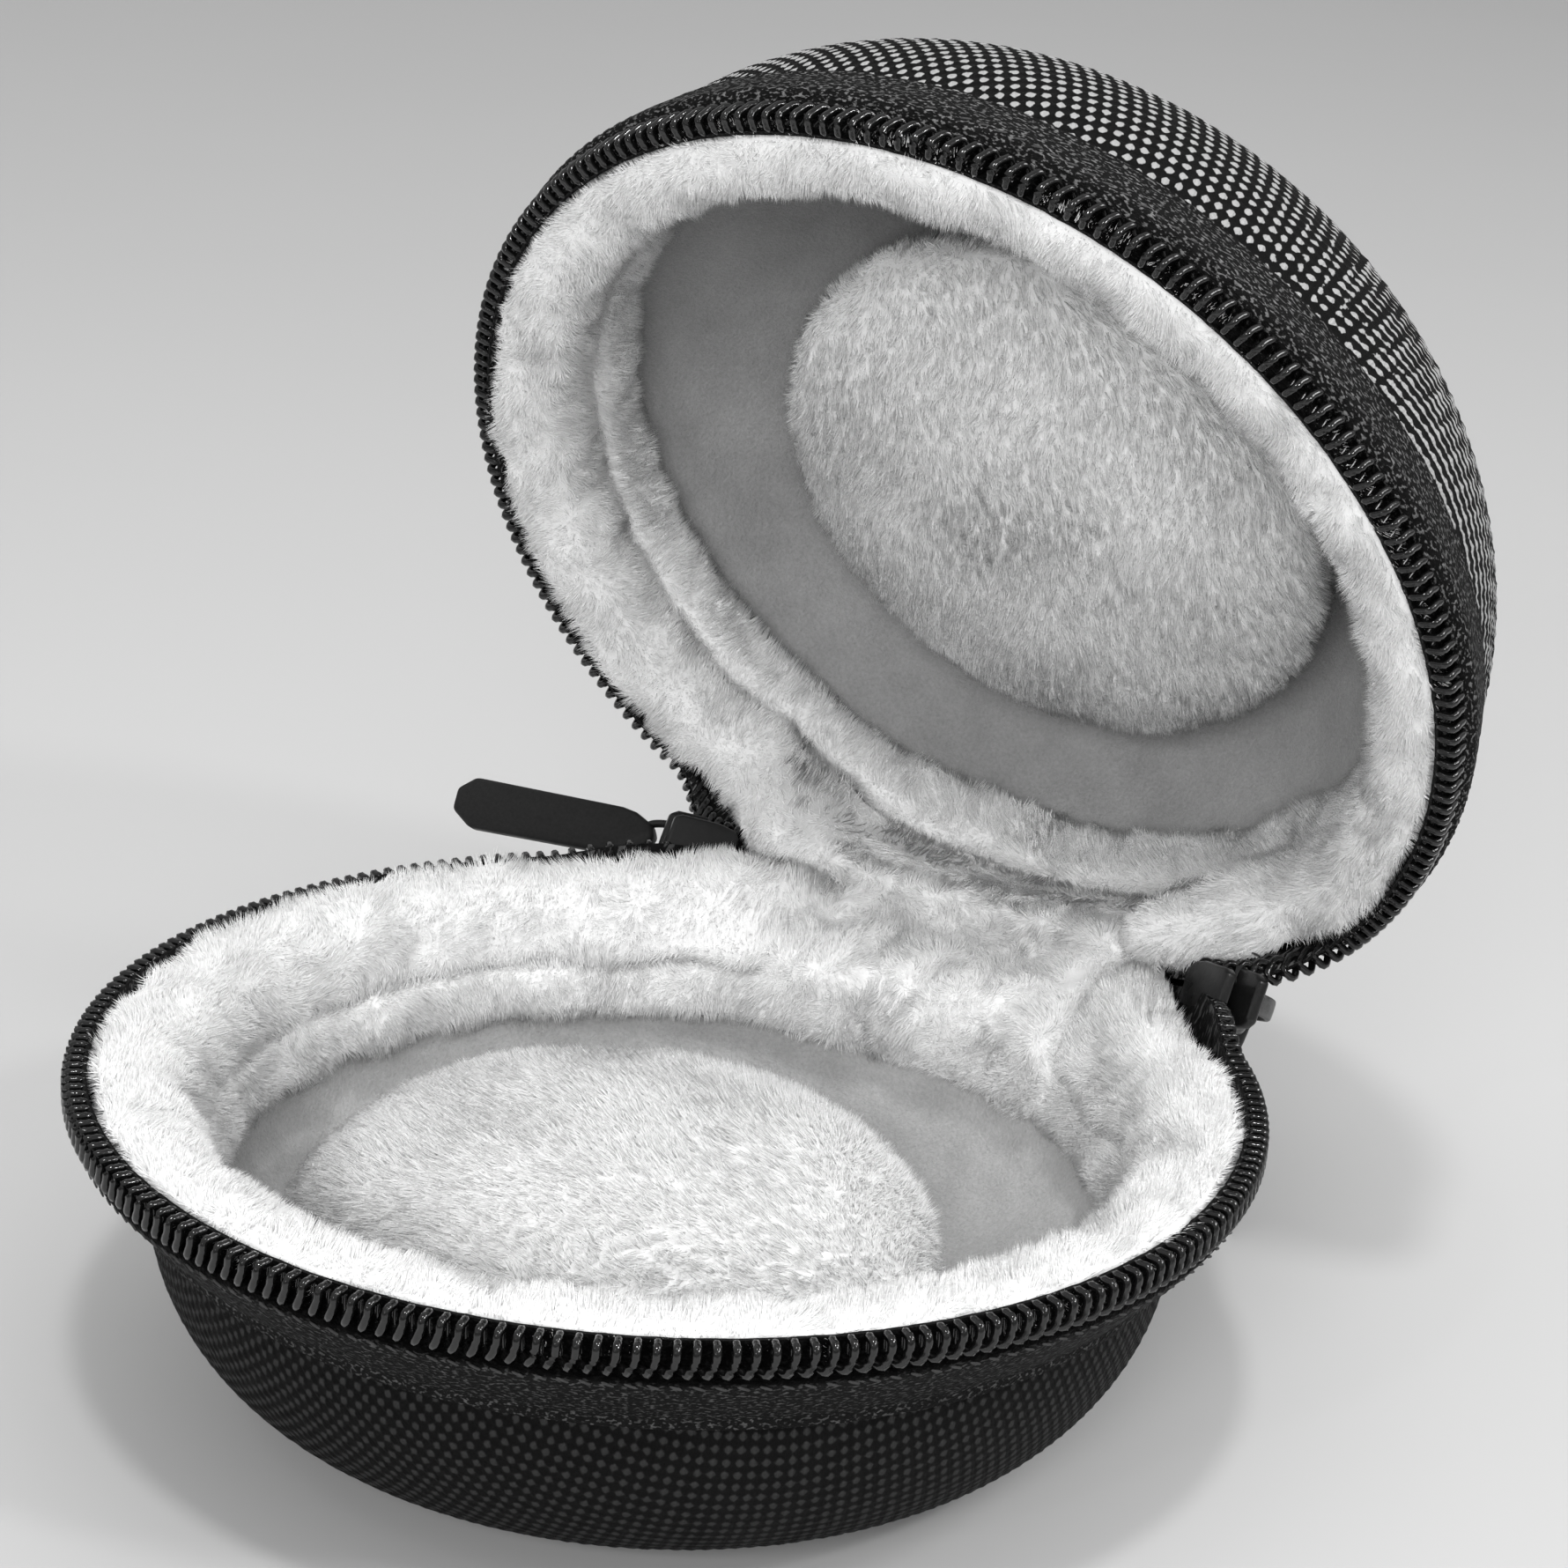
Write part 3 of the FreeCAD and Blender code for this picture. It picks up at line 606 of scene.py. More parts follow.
def zip_tape(half, outline, back):
    """The knitted tape from the coil to the cloth, whole round the case."""
    rows = 30
    face = curve_through(outline, rows)
    hidden = curve_through(back, BACK_ROWS)[::-1]
    section = np.concatenate([face, hidden])
    share = np.concatenate([np.linspace(0, 1, rows), np.linspace(1, 0, BACK_ROWS)])
    around = turns(420)
    stay = fade(share)[:, None] * np.ones_like(around)
    points = along_zip(half, section[:, :1], around[None], section[:, 1:], stay)
    knit = waves(points, 21, 1.6) * 0.05
    points = along_zip(half, section[:, :1] + knit, around[None], section[:, 1:], stay)
    length = np.linspace(0, 1, len(section))[:, None] * TAPE_WIDTH
    threads = np.stack([np.broadcast_to(length, knit.shape),
                        np.broadcast_to(around * RIM_RADIUS, knit.shape), 0 * knit], -1)
    piece = grid_piece(half + "_zip_tape", points, TAPE[half], True, True, threads=threads)
    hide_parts(half + "_tape")
    follow_zip(piece, half)


def follow_zip(piece, half):
    """Bakes a rim piece's place into its points; near the hinge they already lie on the zip's
    middle line, not on its half.
    """
    if half == "base":
        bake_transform(piece)
    else:
        rim = on_lid(0.0, 0.0, 0.0) * MM
        ahead = (on_lid(1.0, 0.0, 0.0) - on_lid(0.0, 0.0, 0.0))
        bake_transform(piece)


zip_tape("base", [(60.0, 0.1), (60.3, 2.4), (61.0, 3.8), (60.4, 5.0), (58.5, 7.3), (56.4, 9.5),
                  (55.2, 10.8), (55.0, 11.9), (54.0, 12.4)],
         [(59.5, 0.1), (59.0, 4.6), (55.8, 8.6), (53.0, 11.4), (53.0, 12.0)])
zip_tape("lid", [(60.0, 0.1), (60.4, 2.6), (62.0, 3.9), (62.3, 4.6), (62.0, 6.2), (61.4, 8.0),
                 (60.9, 9.6), (60.7, 10.4), (59.6, 10.8)],
         [(59.5, 0.1), (60.2, 4.6), (59.6, 8.0), (59.2, 9.4), (58.8, 10.2)])


COIL_PITCH = 1.74
COIL_WIRE = 0.45  # radius
COIL_MIDDLE = (60.75, 1.55)
COIL_REACH = (0.95, 1.4)
COIL_START = math.radians(29.8)
STITCH_START = math.radians(34)


def zip_coil(half):
    """One nylon monofilament wound in flat loops along the rim, crossing over below."""
    (middle, depth), (wide, deep) = COIL_MIDDLE, COIL_REACH
    loops = int(middle * (2 * math.pi - 2 * COIL_START) / COIL_PITCH)
    per_loop = 22
    phase = np.arange(loops * per_loop) * 2 * math.pi / per_loop
    past = phase - math.pi / 2 - 0.5
    advance = past - 4 / 3 * np.sin(past) + np.sin(2 * past) / 6
    turn = COIL_START + advance * COIL_PITCH / (2 * math.pi) / middle
    if half == "lid":
        turn = 2 * math.pi - turn - 0.5 * COIL_PITCH / middle
    square = 1 + 0.12 * np.cos(4 * phase + math.pi)
    across = middle + wide * np.cos(phase) * square
    down = depth - deep * np.sin(phase) * square
    path = along_zip(half, across, turn, down)
    piece = tube(half + "_coil_loops", path, COIL_WIRE, 8, COIL)
    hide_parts(half + "_coil", half + "_coil_cord")
    follow_zip(piece, half)


def stitch_row(half, across, down):
    """Short dark stitches that hold the coil to its tape."""
    pitch, length, slant = 2.0, 1.15, 0.35
    wide, thick = 0.13, 0.15
    count = int(across * (2 * math.pi - 2 * STITCH_START) / pitch)
    verts, faces = [], []
    sides, rings = 6, ((-0.5, 0.25), (-0.36, 0.9), (0.0, 1.0), (0.36, 0.9), (0.5, 0.25))
    for number in range(count):
        turn = STITCH_START + (number + 0.5) * pitch / across
        base = len(verts)
        for share, width in rings:
            for side in range(sides):
                a = side * 2 * math.pi / sides
                verts.append((across + wide * width * math.cos(a),
                              turn + share * length / across,
                              down + share * slant + thick * width * math.sin(a)))
        for step in range(len(rings) - 1):
            for side in range(sides):
                a, b = base + step * sides + side, base + step * sides + (side + 1) % sides
                faces.append((a, b, b + sides, a + sides))
    verts = np.array(verts)
    points = along_zip(half, verts[:, 0], verts[:, 1], verts[:, 2], fade(0.15))
    piece = new_piece(half + "_stitch_row", points, faces, THREAD)
    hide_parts(half + "_stitching")
    follow_zip(piece, half)


for half_name in ("base", "lid"):
    zip_coil(half_name)
stitch_row("base", 61.0, 4.3)
stitch_row("lid", 62.25, 4.9)


# ---------------------------------------------------------------- plush


def section_reader(section):
    """Across, down and outward direction at any share of the way round a section."""
    steps = np.linspace(0, 1, len(section))
    slope = np.gradient(section, axis=0)
    slope /= np.linalg.norm(slope, axis=1)[:, None] + 1e-9
    middle = section.mean(0)
    out = np.stack([slope[:, 1], -slope[:, 0]], -1)
    if ((section - middle) * out).sum() < 0:
        out = -out
    return lambda share: tuple(
        np.interp(share, steps, column) for column in (*section.T, *out.T)
    )


def lumps(points, seed):
    """How far a stuffed ring swells at each point."""
    return waves(points, seed, 11.0) * 0.32 + waves(points, seed + 1, 4.0) * 0.14


RING_RADIUS = 55
HAIR_SINK = 0.1


def plush_ring(name, half, outline, place, nodes, hair, seed, comb=(0, 0)):
    """A stuffed ring of plush: a soft uneven body with pile standing on it."""
    rows = 40
    section = curve_through(outline + outline[:1], rows)
    read = section_reader(section)
    around = turns(360)
    share = np.linspace(0, 1, rows, endpoint=False)
    across, down, out_r, out_d = (c[:, None] for c in read(share))
    soft = lumps(place(half, across, around[None], down), seed)
    points = place(half, across + out_r * soft, around[None], down + out_d * soft)
    # The body under the pile takes the darker skin tone: painted shade between the hairs.
    body = grid_piece(name, points, PLUSH, True, True, tone=np.full(soft.shape, SKIN_PAINTED_SHADE))
    rng = np.random.default_rng(seed)
    share, turn = rng.uniform(0, 1, 3 * HAIRS), rng.uniform(0, 2 * math.pi, 3 * HAIRS)
    across, down, out_r, out_d = read(share)
    in_sight = (out_r < 0.55) & (out_d < 0.8) | (down < section[:, 1].min() + 2.2)
    kept = np.flatnonzero(in_sight)
    share, turn = share[kept[:HAIRS]], turn[kept[:HAIRS]]
    count = len(share)
    across, down, out_r, out_d = read(share)
    soft = lumps(place(half, across, turn, down), seed) - HAIR_SINK
    across, down = across + out_r * soft, down + out_d * soft
    root = place(half, across, turn, down)
    length = hair * rng.uniform(*HAIR_LENGTHS, count)
    length *= 1 + 0.15 * waves(root, seed + 2, 5.0)
    beside_zip = smooth(0.2, 0.8, out_r) * (1 - smooth(42.0, 46.0, off_hinge(turn)))
    length *= 1 - 0.7 * beside_zip
    wander = [waves(root, seed + 3 + k, 9.0) * 0.35 + waves(root, seed + 6 + k, 3.0) * 0.15
              + rng.normal(0, 0.13, count) for k in range(3)]
    way_r = out_r + wander[0] + comb[0]
    way_d = out_d + wander[1] + comb[1]
    way_t = wander[2] + 0.25
    size = np.sqrt(way_r ** 2 + way_d ** 2 + way_t ** 2)
    tip = place(half, across + way_r / size * length,
                turn + way_t / size * length / RING_RADIUS, down + way_d / size * length)
    tip = clumped(root, tip, 1.2, 0.25, seed)
    pile = spikes(name + "_pile", root, tip, seed)
    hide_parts(*nodes)
    return body, pile


def own_place(half, across, turn, down):
    """A ring that stays with its half all the way round."""
    return ON[half](across, turn, down)


# Each half's outline, and the seed of its random numbers.
ROLLS = {
    "base": ([(58.4, -0.1), (58.6, 1.2), (57.0, 3.8), (54.6, 7.4), (52.0, 9.0), (49.6, 9.0),
              (48.9, 7.4), (49.3, 4.8), (50.3, 2.2), (52.6, 0.3), (56.0, -0.5)], 31),
    "lid": ([(58.6, 0.1), (58.9, 1.4), (58.5, 3.8), (57.4, 6.8), (55.4, 8.8), (53.0, 9.0),
             (51.7, 7.6), (51.3, 4.6), (52.0, 1.7), (54.0, 0.1), (56.8, -0.4)], 47),
}
BANDS = {
    "base": ([(51.4, 9.6), (51.4, 12.0), (49.6, 14.4), (47.4, 15.0), (46.4, 13.9),
              (47.2, 11.6), (48.2, 9.9), (49.6, 9.4)], 63),
    "lid": ([(55.2, 9.8), (54.9, 13.0), (53.6, 16.4), (51.8, 17.2), (50.3, 16.0),
             (50.4, 12.8), (51.0, 10.4), (52.8, 9.6)], 79),
}
for half_name, (ring_outline, ring_seed) in ROLLS.items():
    made = plush_ring(half_name + "_rim_roll", half_name, ring_outline, roll_place,
                      [half_name + "_rim_plush", half_name + "_rim_foam"],
                      hair=1.8, seed=ring_seed)
    for part in made:
        follow_zip(part, half_name)
for half_name, (ring_outline, ring_seed) in BANDS.items():
    made = plush_ring(half_name + "_plush_band", half_name, ring_outline, own_place,
                      [half_name + "_wall_band"],
                      hair=1.7, seed=ring_seed, comb=(-0.2, 0.5))
    for part in made:
        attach(part, half_name)


# ---------------------------------------------------------------- cushions


SWELL_STEPS = 20
SWELL_MOST = 1.1
SWELL_MESH = 2.6
CUSHION_SIDES = 96


def swell(piece):
    """Lets the cushion's cloth fill out under a little pressure."""
    rest = add_object(piece.name + "_swelling", piece.data.copy())
    bpy.context.view_layer.objects.active = rest
    remesh = rest.modifiers.new("even", "REMESH")
    remesh.mode = "VOXEL"
    remesh.voxel_size = SWELL_MESH * MM
    bpy.ops.object.modifier_apply(modifier=remesh.name)
    before = np.array([v.co for v in rest.data.vertices])
    cloth = rest.modifiers.new("cloth", "CLOTH")
    cloth.settings.quality = 5
    cloth.settings.mass = 0.2
    cloth.settings.use_pressure = True
    cloth.settings.uniform_pressure_force = 4.0
    cloth.settings.effector_weights.gravity = 0.0
    scene = bpy.context.scene
    for step in range(1, SWELL_STEPS + 1):
        scene.frame_set(step)
    graph = bpy.context.evaluated_depsgraph_get()
    swollen = np.array([v.co for v in rest.evaluated_get(graph).data.vertices])
    rest.modifiers.clear()
    scene.frame_set(1)
    move = swollen - before
    far = np.linalg.norm(move, axis=1)[:, None] + 1e-12
    cap = SWELL_MOST * MM
    settled = before + move / far * cap * np.tanh(far / cap)
    rest.data.vertices.foreach_set("co", settled.astype(np.float32).ravel())
    even = rest.modifiers.new("round", "SUBSURF")
    even.levels = even.render_levels = 1
    bpy.ops.object.modifier_apply(modifier=even.name)
    shade_smooth(rest.data)
    # The swollen cloth gets the darker skin tone: painted shade under the pile.
    tone = rest.data.attributes.new("tone", "FLOAT", "POINT")
    tone.data.foreach_set("value", np.full(len(rest.data.vertices), SKIN_PAINTED_SHADE, np.float32))
    piece.data = rest.data
    bpy.data.objects.remove(rest)


def cushion(half, outline, shift, nodes, seed, lean, hair):
    """A raised cushion, shift mm behind its half's axis, with its pile combed to lean."""
    name = half + "_cushion"
    section = curve_through(outline, 48)
    around = turns(CUSHION_SIDES)
    offset = ON[half](0.0, 0.0, 0.0) - ON[half](shift, 0.0, 0.0)
    points = ON[half](section[:, :1], around[None], section[:, 1:]) - offset
    top = np.repeat(points[-1:].mean(1, keepdims=True), CUSHION_SIDES, 1)
    points = np.concatenate([points, top])
    # Its skin starts with the darker tone, painted shade under the pile.
    piece = grid_piece(name, points, PLUSH, False, True,
                       tone=np.full(points.shape[:2], SKIN_PAINTED_SHADE))
    swell(piece)
    mesh = piece.data
    mesh.calc_loop_triangles()
    corners = np.array([v.co for v in mesh.vertices]) / MM
    triangles = np.array([t.vertices[:] for t in mesh.loop_triangles])
    a, b, c = (corners[triangles[:, k]] for k in range(3))
    normal = np.cross(b - a, c - a)
    area = np.linalg.norm(normal, axis=1)
    normal /= area[:, None] + 1e-12
    outward = ON[half](0.0, 0.0, 0.0) - ON[half](0.0, 0.0, 1.0)
    facing = normal @ outward
    weight = area * smooth(-0.75, -0.1, facing)
    rng = np.random.default_rng(seed)
    chosen = rng.choice(len(triangles), HAIRS, p=weight / weight.sum())
    u, v = rng.random(HAIRS), rng.random(HAIRS)
    flip = u + v > 1
    u[flip], v[flip] = 1 - u[flip], 1 - v[flip]
    root = a[chosen] + (b - a)[chosen] * u[:, None] + (c - a)[chosen] * v[:, None]
    normal = normal[chosen]
    wander = np.stack([waves(root, seed + k, 24.0) for k in range(3)], -1) * 0.2
    wander += np.stack([waves(root, seed + 5 + k, 2.2) for k in range(3)], -1) * 0.12
    way = normal * 0.6 + np.array(lean) + wander + rng.normal(0, 0.13, root.shape)
    way -= normal * np.minimum(0, (way * normal).sum(1) - 0.3)[:, None]
    way /= np.linalg.norm(way, axis=1)[:, None]
    length = hair * rng.uniform(*HAIR_LENGTHS, HAIRS)[:, None]
    tip = clumped(root, root + way * length, 0.7, 0.5, seed)
    pile = spikes(name + "_pile", root - normal * ROOT_DEPTH, tip, seed, specks=0.26)
    for part in (piece, pile):
        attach(part, half)
    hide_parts(*nodes)


def dome(radius, waist, crest, floor, under):
    """A cushion's outline, from the middle of its underside to its crest."""
    foot = 24.0
    upper = arc_points((0, waist), radius, crest - waist, 14)
    return [(0.3, under), (foot * 0.6, floor), (foot, floor - 0.6)] + upper


cushion("base", dome(33.8, 19.0, 2.4, 28.6, 28.8), -9.0,
        ["base_cushion_plush", "base_cushion_foam"],
        seed=91, lean=(-0.3, -0.5, -0.15), hair=2.2)
cushion("lid", dome(35.2, 26.5, 18.4, 38.4, 42.5), 5.0,
        ["lid_cushion_plush", "lid_cushion_foam"],
        seed=97, lean=(0.35, 0.1, -0.35), hair=1.7)


# ---------------------------------------------------------------- gusset


GUSSET_WIDEST = 46
GUSSET_ENDS = 45.0
GUSSET_WAIST = (28.5, 29.5)
GUSSET_THICK = 2.2


def gusset_points(turn, count):
    """Lines from the base's wall over the hinge to the lid's wall, one for each angle."""
    bare = [1 - roll_left(half, turn) for half in ("base", "lid")]
    low, high = 2.4 * (1 - bare[0]), 1.8 * (1 - bare[1])
    mid = 4.0 * (1 - (bare[0] + bare[1]) / 2)
    controls = [
        on_base(46.4 + low, turn, 15.4), on_base(46.9 + low, turn, 11.6),
        on_base(48.8 + low, turn, 6.4),
        on_middle(51.4 + mid, turn, -2.8), on_middle(52.2 + mid, turn, 0.3),
        on_middle(52.8 + mid, turn, 3.4), on_lid(53.4 + 0.7 * high, turn, 6.0),
        on_lid(51.6 + high, turn, 10.0), on_lid(50.8 + high, turn, 17.4),
    ]
    return np.stack([curve_through([c[k] for c in controls], count)
                     for k in range(len(turn))], 1)


# Each crease: its two ends, as degrees from the back and share of the way from the
# base to the lid, and its depth.
CREASES = (
    ((34, 0.50), (17, 0.42), 1.5), ((30, 0.54), (12, 0.52), 0.9),
    ((-14, 0.55), (-24, 0.50), 0.8), ((15, 0.36), (15.1, 0.36), -1.6),
)


def gusset():
    """The plush that runs on from the base's wall to the lid's across the hinge."""
    columns, rows, seed = 120, 90, 59
    wide = np.radians(np.linspace(-GUSSET_WIDEST, GUSSET_WIDEST, 2 * columns))
    full = gusset_points(wide, rows)
    spread = smooth(0.12, 0.5, np.abs(np.linspace(-1, 1, rows)))
    left, right = (np.radians(at + (GUSSET_ENDS - at) * spread) for at in GUSSET_WAIST)
    turn = -right[:, None] + (left + right)[:, None] * np.linspace(0, 1, columns)
    face = np.stack([
        np.stack([np.interp(turn[k], wide, full[k, :, axis]) for axis in range(3)], -1)
        for k in range(rows)
    ])
    ahead = np.gradient(face, axis=0)
    aside = np.gradient(face, axis=1)
    normal = np.cross(aside, ahead)
    normal /= np.linalg.norm(normal, axis=2)[..., None]
    inside = np.array([0, 20.0, 60.0])
    if ((inside - face) * normal).sum() < 0:
        normal = -normal
    soft = waves(face, 55, 9.0) * 0.45 + waves(face, 56, 3.5) * 0.2
    along, place = np.linspace(0, 1, rows)[:, None], np.degrees(turn)
    for (turn_a, share_a), (turn_b, share_b), depth in CREASES:
        t = np.clip((place - turn_a) / (turn_b - turn_a), 0, 1)
        off = (along - share_a - (share_b - share_a) * t) * 40
        over = (place - turn_a - (turn_b - turn_a) * t) * 0.9
        soft = soft - depth * np.exp(-(off ** 2 + over ** 2) / 1.6)
    face = face + normal * soft[..., None]
    behind = face - normal * GUSSET_THICK
    points = np.concatenate([face, behind[::-1]])
    # The gusset's skin takes the darker tone: painted shade under the pile.
    body = grid_piece("gusset_plush", points, PLUSH, True, False,
                      tone=np.full(points.shape[:2], SKIN_PAINTED_SHADE))
    rng = np.random.default_rng(seed)
    i = rng.uniform(0, rows - 1.001, HAIRS)
    j = rng.uniform(0, columns - 1.001, HAIRS)
    low_i, low_j = i.astype(int), j.astype(int)
    part_i, part_j = (i - low_i)[:, None], (j - low_j)[:, None]

    def read(field):
        first, second = (
            field[low_i, column] * (1 - part_i) + field[low_i + 1, column] * part_i
            for column in (low_j, low_j + 1)
        )
        return first * (1 - part_j) + second * part_j

    root, out = read(face), read(normal)
    wander = np.stack([waves(root, 61 + k, 10.0) for k in range(3)], -1) * 0.4
    wander += np.stack([waves(root, 65 + k, 3.0) for k in range(3)], -1) * 0.2
    way = out * 0.75 + wander + rng.normal(0, 0.14, root.shape) + [0.2, 0, -0.2]
    way /= np.linalg.norm(way, axis=1)[:, None]
    tip = root + way * (2.1 * rng.uniform(*HAIR_LENGTHS, HAIRS)[:, None])
    tip = clumped(root, tip, 1.3, 0.3, seed)
    pile = spikes("gusset_pile", root - out * ROOT_DEPTH, tip, seed)
    for piece in (body, pile):
        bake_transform(piece)
    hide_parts("hinge_lining")


gusset()


def hinge_cloth():
    """The woven strip sewn over the outside of the hinge."""
    columns, rows = 90, 60
    turn = np.radians(np.linspace(-29, 29, columns))
    controls = [
        on_base(54.3, turn, 15.5), on_base(54.8, turn, 11.6),
        on_middle(60.9, turn, -4.0), on_middle(61.4, turn, 0.0), on_middle(61.4, turn, 4.0),
        on_lid(61.2, turn, 8.6), on_lid(60.4, turn, 13.5),
    ]
    face = np.stack([curve_through([c[k] for c in controls], rows)
                     for k in range(columns)], 1)
    middle = np.array([0, 30.0, 50.0])
    inward = middle - face
    inward /= np.linalg.norm(inward, axis=2)[..., None]
    points = np.concatenate([face, (face + inward * 0.7)[::-1]])
    threads = np.stack(np.broadcast_arrays(np.linspace(0, 30, 2 * rows)[:, None],
                                           turn * 56, 0.0), -1)
    piece = grid_piece("hinge_cloth", points, BASE_WEAVE, True, False, threads=threads)
    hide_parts("hinge_strip")
    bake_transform(piece)


hinge_cloth()


# ---------------------------------------------------------------- sliders


def outline_slab(name, outline, low, high, place, material, bevel):
    """A flat piece cut to an outline, with rounded edges."""
    count = len(outline)
    flat = np.array(outline, float)
    points = np.concatenate([place(flat[:, 0], flat[:, 1], np.full(count, z))
                             for z in (low, high)])
    mesh = bpy.data.meshes.new(name)
    sides = [(k, (k + 1) % count, count + (k + 1) % count, count + k) for k in range(count)]
    mesh.from_pydata((points * MM).tolist(), [],
                     [tuple(range(count))[::-1], tuple(range(count, 2 * count))] + sides)
    piece = add_object(name, mesh)
    mesh.materials.append(material)
    tidy(piece)
    rounding = piece.modifiers.new("rounding", "BEVEL")
    rounding.width, rounding.segments = bevel * MM, 3
    rounding.limit_method = "ANGLE"
    rounding.angle_limit = math.radians(30)
    shade_smooth(mesh)
    return piece


def joined(name, pieces):
    """Several meshes as one piece, their modifiers applied."""
    graph = bpy.context.evaluated_depsgraph_get()
    work = bmesh.new()
    for piece in pieces:
        made = bpy.data.meshes.new_from_object(piece.evaluated_get(graph))
        work.from_mesh(made)
        bpy.data.meshes.remove(made)
    mesh = bpy.data.meshes.new(name)
    work.to_mesh(mesh)
    work.free()
    mesh.materials.append(pieces[0].data.materials[0])
    for piece in pieces:
        bpy.data.objects.remove(piece)
    result = add_object(name, mesh)
    shade_smooth(mesh)
    mesh.set_sharp_from_angle(angle=math.radians(40))
    return result


SLIDER_ANGLE = 35.6
SLIDER_RADIUS = 61


def slider(side, way):
    """The wedge that joins the coils, and its bridge, which the pull hangs from."""
    middle = math.radians(way * SLIDER_ANGLE)

    def at(along, up, across):
        return on_middle(across, middle - way * np.asarray(along) / SLIDER_RADIUS, up)

    shield = [(-4.5, -2.4), (-3.6, -3.1), (1.4, -3.8), (3.6, -3.5), (4.5, -2.3),
              (4.5, 2.3), (3.6, 3.5), (1.4, 3.8), (-3.6, 3.1), (-4.5, 2.4)]
    small = [(x * 0.97, y * 0.76) for x, y in shield]
    post = [(0.6, -0.45), (3.8, -0.45), (3.8, 0.45), (0.6, 0.45)]
    plates = [
        outline_slab("outer", shield, 62.3, 63.75, at, BLACK, 0.4),
        outline_slab("inner", small, 58.3, 59.65, at, BLACK, 0.35),
        outline_slab("post", post, 59.3, 62.8, at, BLACK, 0.1),
    ]
    body = joined(f"slider_{side}_wedge", plates)
    arch = curve_through([(-3.2, 63.4), (-3.0, 65.0), (-1.9, 66.4), (0, 66.8), (1.9, 66.4),
                          (3.0, 65.0), (3.2, 63.4)], 26)
    slope = np.gradient(arch, axis=0)
    slope /= np.linalg.norm(slope, axis=1)[:, None]
    bar = []
    for a in turns(20):
        wide = 1.25 * np.sign(math.cos(a)) * abs(math.cos(a)) ** 0.5
        thick = 0.42 * np.sign(math.sin(a)) * abs(math.sin(a)) ** 0.5
        bar.append(at(arch[:, 0] - slope[:, 1] * thick, wide,
                      arch[:, 1] + slope[:, 0] * thick))
    bridge = grid_piece(f"slider_{side}_arch", np.stack(bar, 1), GREY, False, True)
    for piece, node, slot in ((body, "body", "black_metal"), (bridge, "bridge", "grey_metal")):
        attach(piece, f"slider_{side}")
        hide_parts(f"slider_{side}_{node}")


def pull(side):
    """The wire link and its flat rubber tab, where the record's joint and solids put them."""
    joint = JOINTS[f"pull_{side}_swing"]
    pin = np.array(joint["pos_m"]) / MM
    up = np.array(joint["axis"])
    solid = frame["nodes"][f"pull_{side}_tab"].data
    corners = np.array([v.co for v in solid.vertices]) / MM
    away = np.linalg.norm(corners - pin, axis=1)
    tip = corners[away > away.max() - 0.6].mean(0)
    ahead = (tip - pin) / np.linalg.norm(tip - pin)
    wide = up - ahead * (up @ ahead)
    wide /= np.linalg.norm(wide)
    thick = np.cross(ahead, wide)

    def at(*place):
        along, aside, through = (np.asarray(v, float)[..., None] for v in place)
        return pin + along * ahead + aside * wide + through * thick

    outline = [(6.2, -1.5), (8.6, -2.7), (10.5, -3.05), (30.2, -3.25), (33.0, -1.3),
               (33.0, 1.5), (30.8, 3.25), (10.5, 3.05), (8.6, 2.7), (6.2, 1.5), (5.4, 0.0)]
    tab = outline_slab("tab", outline, -1.1, 1.1, at, RUBBER, 0.55)
    loop = [(0.0, -2.0), (3.6, -2.1), (6.6, -1.6), (7.3, 0.0), (6.6, 1.6), (3.6, 2.1),
            (0.0, 2.0), (-0.5, 0.0)]
    line = curve_through(loop + loop[:1], 60)
    link = tube("link", at(line[:, 0], line[:, 1], 0 * line[:, 0]), 0.5, 10, BLACK)
    tab = joined(f"pull_{side}_rubber", [tab])
    link = joined(f"pull_{side}_wire", [link])
    for piece, node, slot in ((tab, "tab", "pull_rubber"), (link, "link", "black_metal")):
        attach(piece, f"pull_{side}")
        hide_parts(f"pull_{side}_{node}")


for side_name, side_way in (("left", 1), ("right", -1)):
    slider(side_name, side_way)
    pull(side_name)
    stop = frame["nodes"][f"zip_stop_{side_name}"]
    stop.data.materials.clear()
    stop.data.materials.append(TAPE["base"])


# ---------------------------------------------------------------- the scene


TABLE_GREY = 0.46
# Distance from the middle and height, in metres.
TABLE_PROFILE = [(0.001, 0.0), (1.2, 0.0), (2.4, 0.0), (3.0, 0.05), (3.4, 0.25), (3.6, 0.6),
                 (3.65, 1.2)]


def backdrop():
    """A pale table that sweeps up all round into a pale wall."""
    rings, sides = 60, 64
    line = curve_through(TABLE_PROFILE, rings) / MM
    points = ring(line[:, :1], turns(sides)[None], line[:, 1:])
    made = Shader("pale_table", Roughness=0.85)
    made.grey(made.ramp(made.noise(3.0), TABLE_GREY * 0.99, TABLE_GREY * 1.01))
    floor = new_piece("table", points.reshape(-1, 3), grid_faces(rings, sides, False, True),
                      made.material)


VIEW_TURN = math.radians(31.6625)
VIEW_RISE = math.radians(19.3297)
VIEW_ROLL = math.radians(3.6686)
VIEW_FROM = (0.18133, -0.27512, 0.18157)
LENS, SENSOR = 79.41, 36


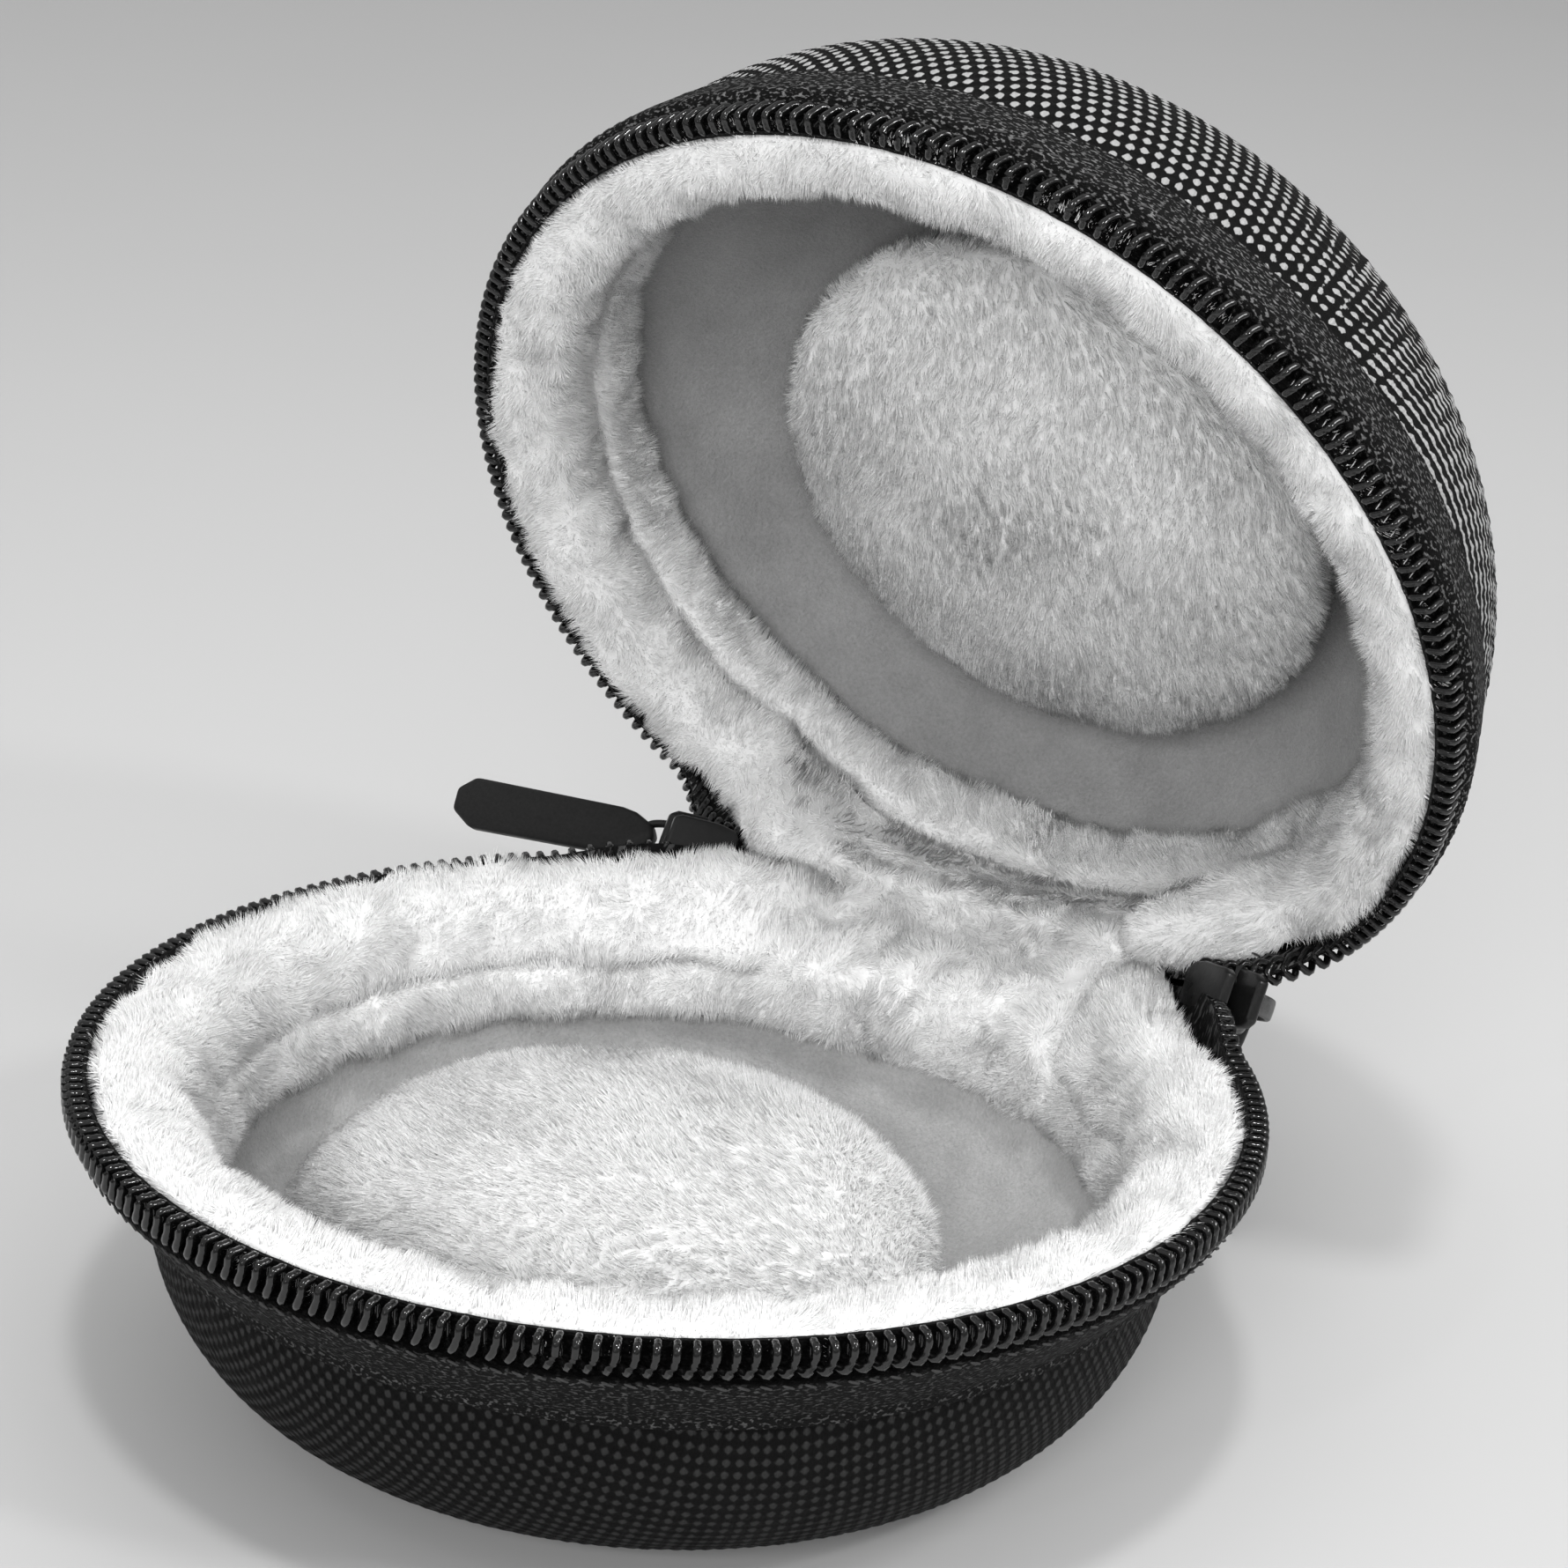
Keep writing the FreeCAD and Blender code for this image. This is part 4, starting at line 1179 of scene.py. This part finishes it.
def camera():
    """The photograph's own place, angle and lens."""
    back = Vector((math.sin(VIEW_TURN) * math.cos(VIEW_RISE),
                   -math.cos(VIEW_TURN) * math.cos(VIEW_RISE), math.sin(VIEW_RISE)))
    level = Vector((0, 0, 1)).cross(back).normalized()
    rise = back.cross(level)
    c, s = math.cos(VIEW_ROLL), math.sin(VIEW_ROLL)
    right, up = c * level + s * rise, -s * level + c * rise
    lens = bpy.data.cameras.new("view")
    lens.lens, lens.sensor_width = LENS, SENSOR
    lens.clip_start, lens.clip_end = 0.01, 20
    seen = add_object("view", lens)
    turn = Matrix((right, up, back)).transposed().to_4x4()
    seen.matrix_world = Matrix.Translation(VIEW_FROM) @ turn
    bpy.context.scene.camera = seen


# Each lamp's place, the place it faces and its width, in metres, its watts, and
# whether it may be seen in a shine.
LAMPS = {
    "ceiling": ((0.0, 0.2, 3.2), (0.0, 0.2, 0.0), 5.0, 57.0, False),
    "over": ((0.15, -0.25, 0.95), (0, 0.02, 0.04), 0.1, 3.0, True),
    "right": ((0.8, 0.0, 0.7), (0, 0.03, 0.06), 0.12, 2.4, True),
    "front": ((0.4, -0.92, 0.42), (0, 0.03, 0.07), 0.6, 10.5, False),
    "glint": ((0.0, -0.85, 0.5), (0, 0.03, 0.07), 0.05, 0.5, True),
    "key": ((0.75, 0.55, 0.8), (0, 0.03, 0.06), 0.4, 3.5, True),
}
ROOM_LIGHT = 0.5


def soft_light(name, spot, aim, size, power, shines):
    """A round lamp at a spot, facing a place."""
    light = bpy.data.lights.new(name, "AREA")
    light.shape, light.size, light.energy = "DISK", size, power
    lamp = add_object(name, light)
    lamp.location = spot
    lamp.visible_glossy = shines
    lamp.rotation_euler = (Vector(aim) - Vector(spot)).to_track_quat("-Z", "Y").to_euler()


camera()
backdrop()
for lamp_name, settings in LAMPS.items():
    soft_light(lamp_name, *settings)
world = bpy.data.worlds.new("soft_room")
world.use_nodes = True
room = world.node_tree.nodes["Background"]
room.inputs["Color"].default_value = (1, 1, 1, 1)
room.inputs["Strength"].default_value = ROOM_LIGHT
bpy.context.scene.world = world
bpy.context.scene.view_settings.view_transform = "Standard"
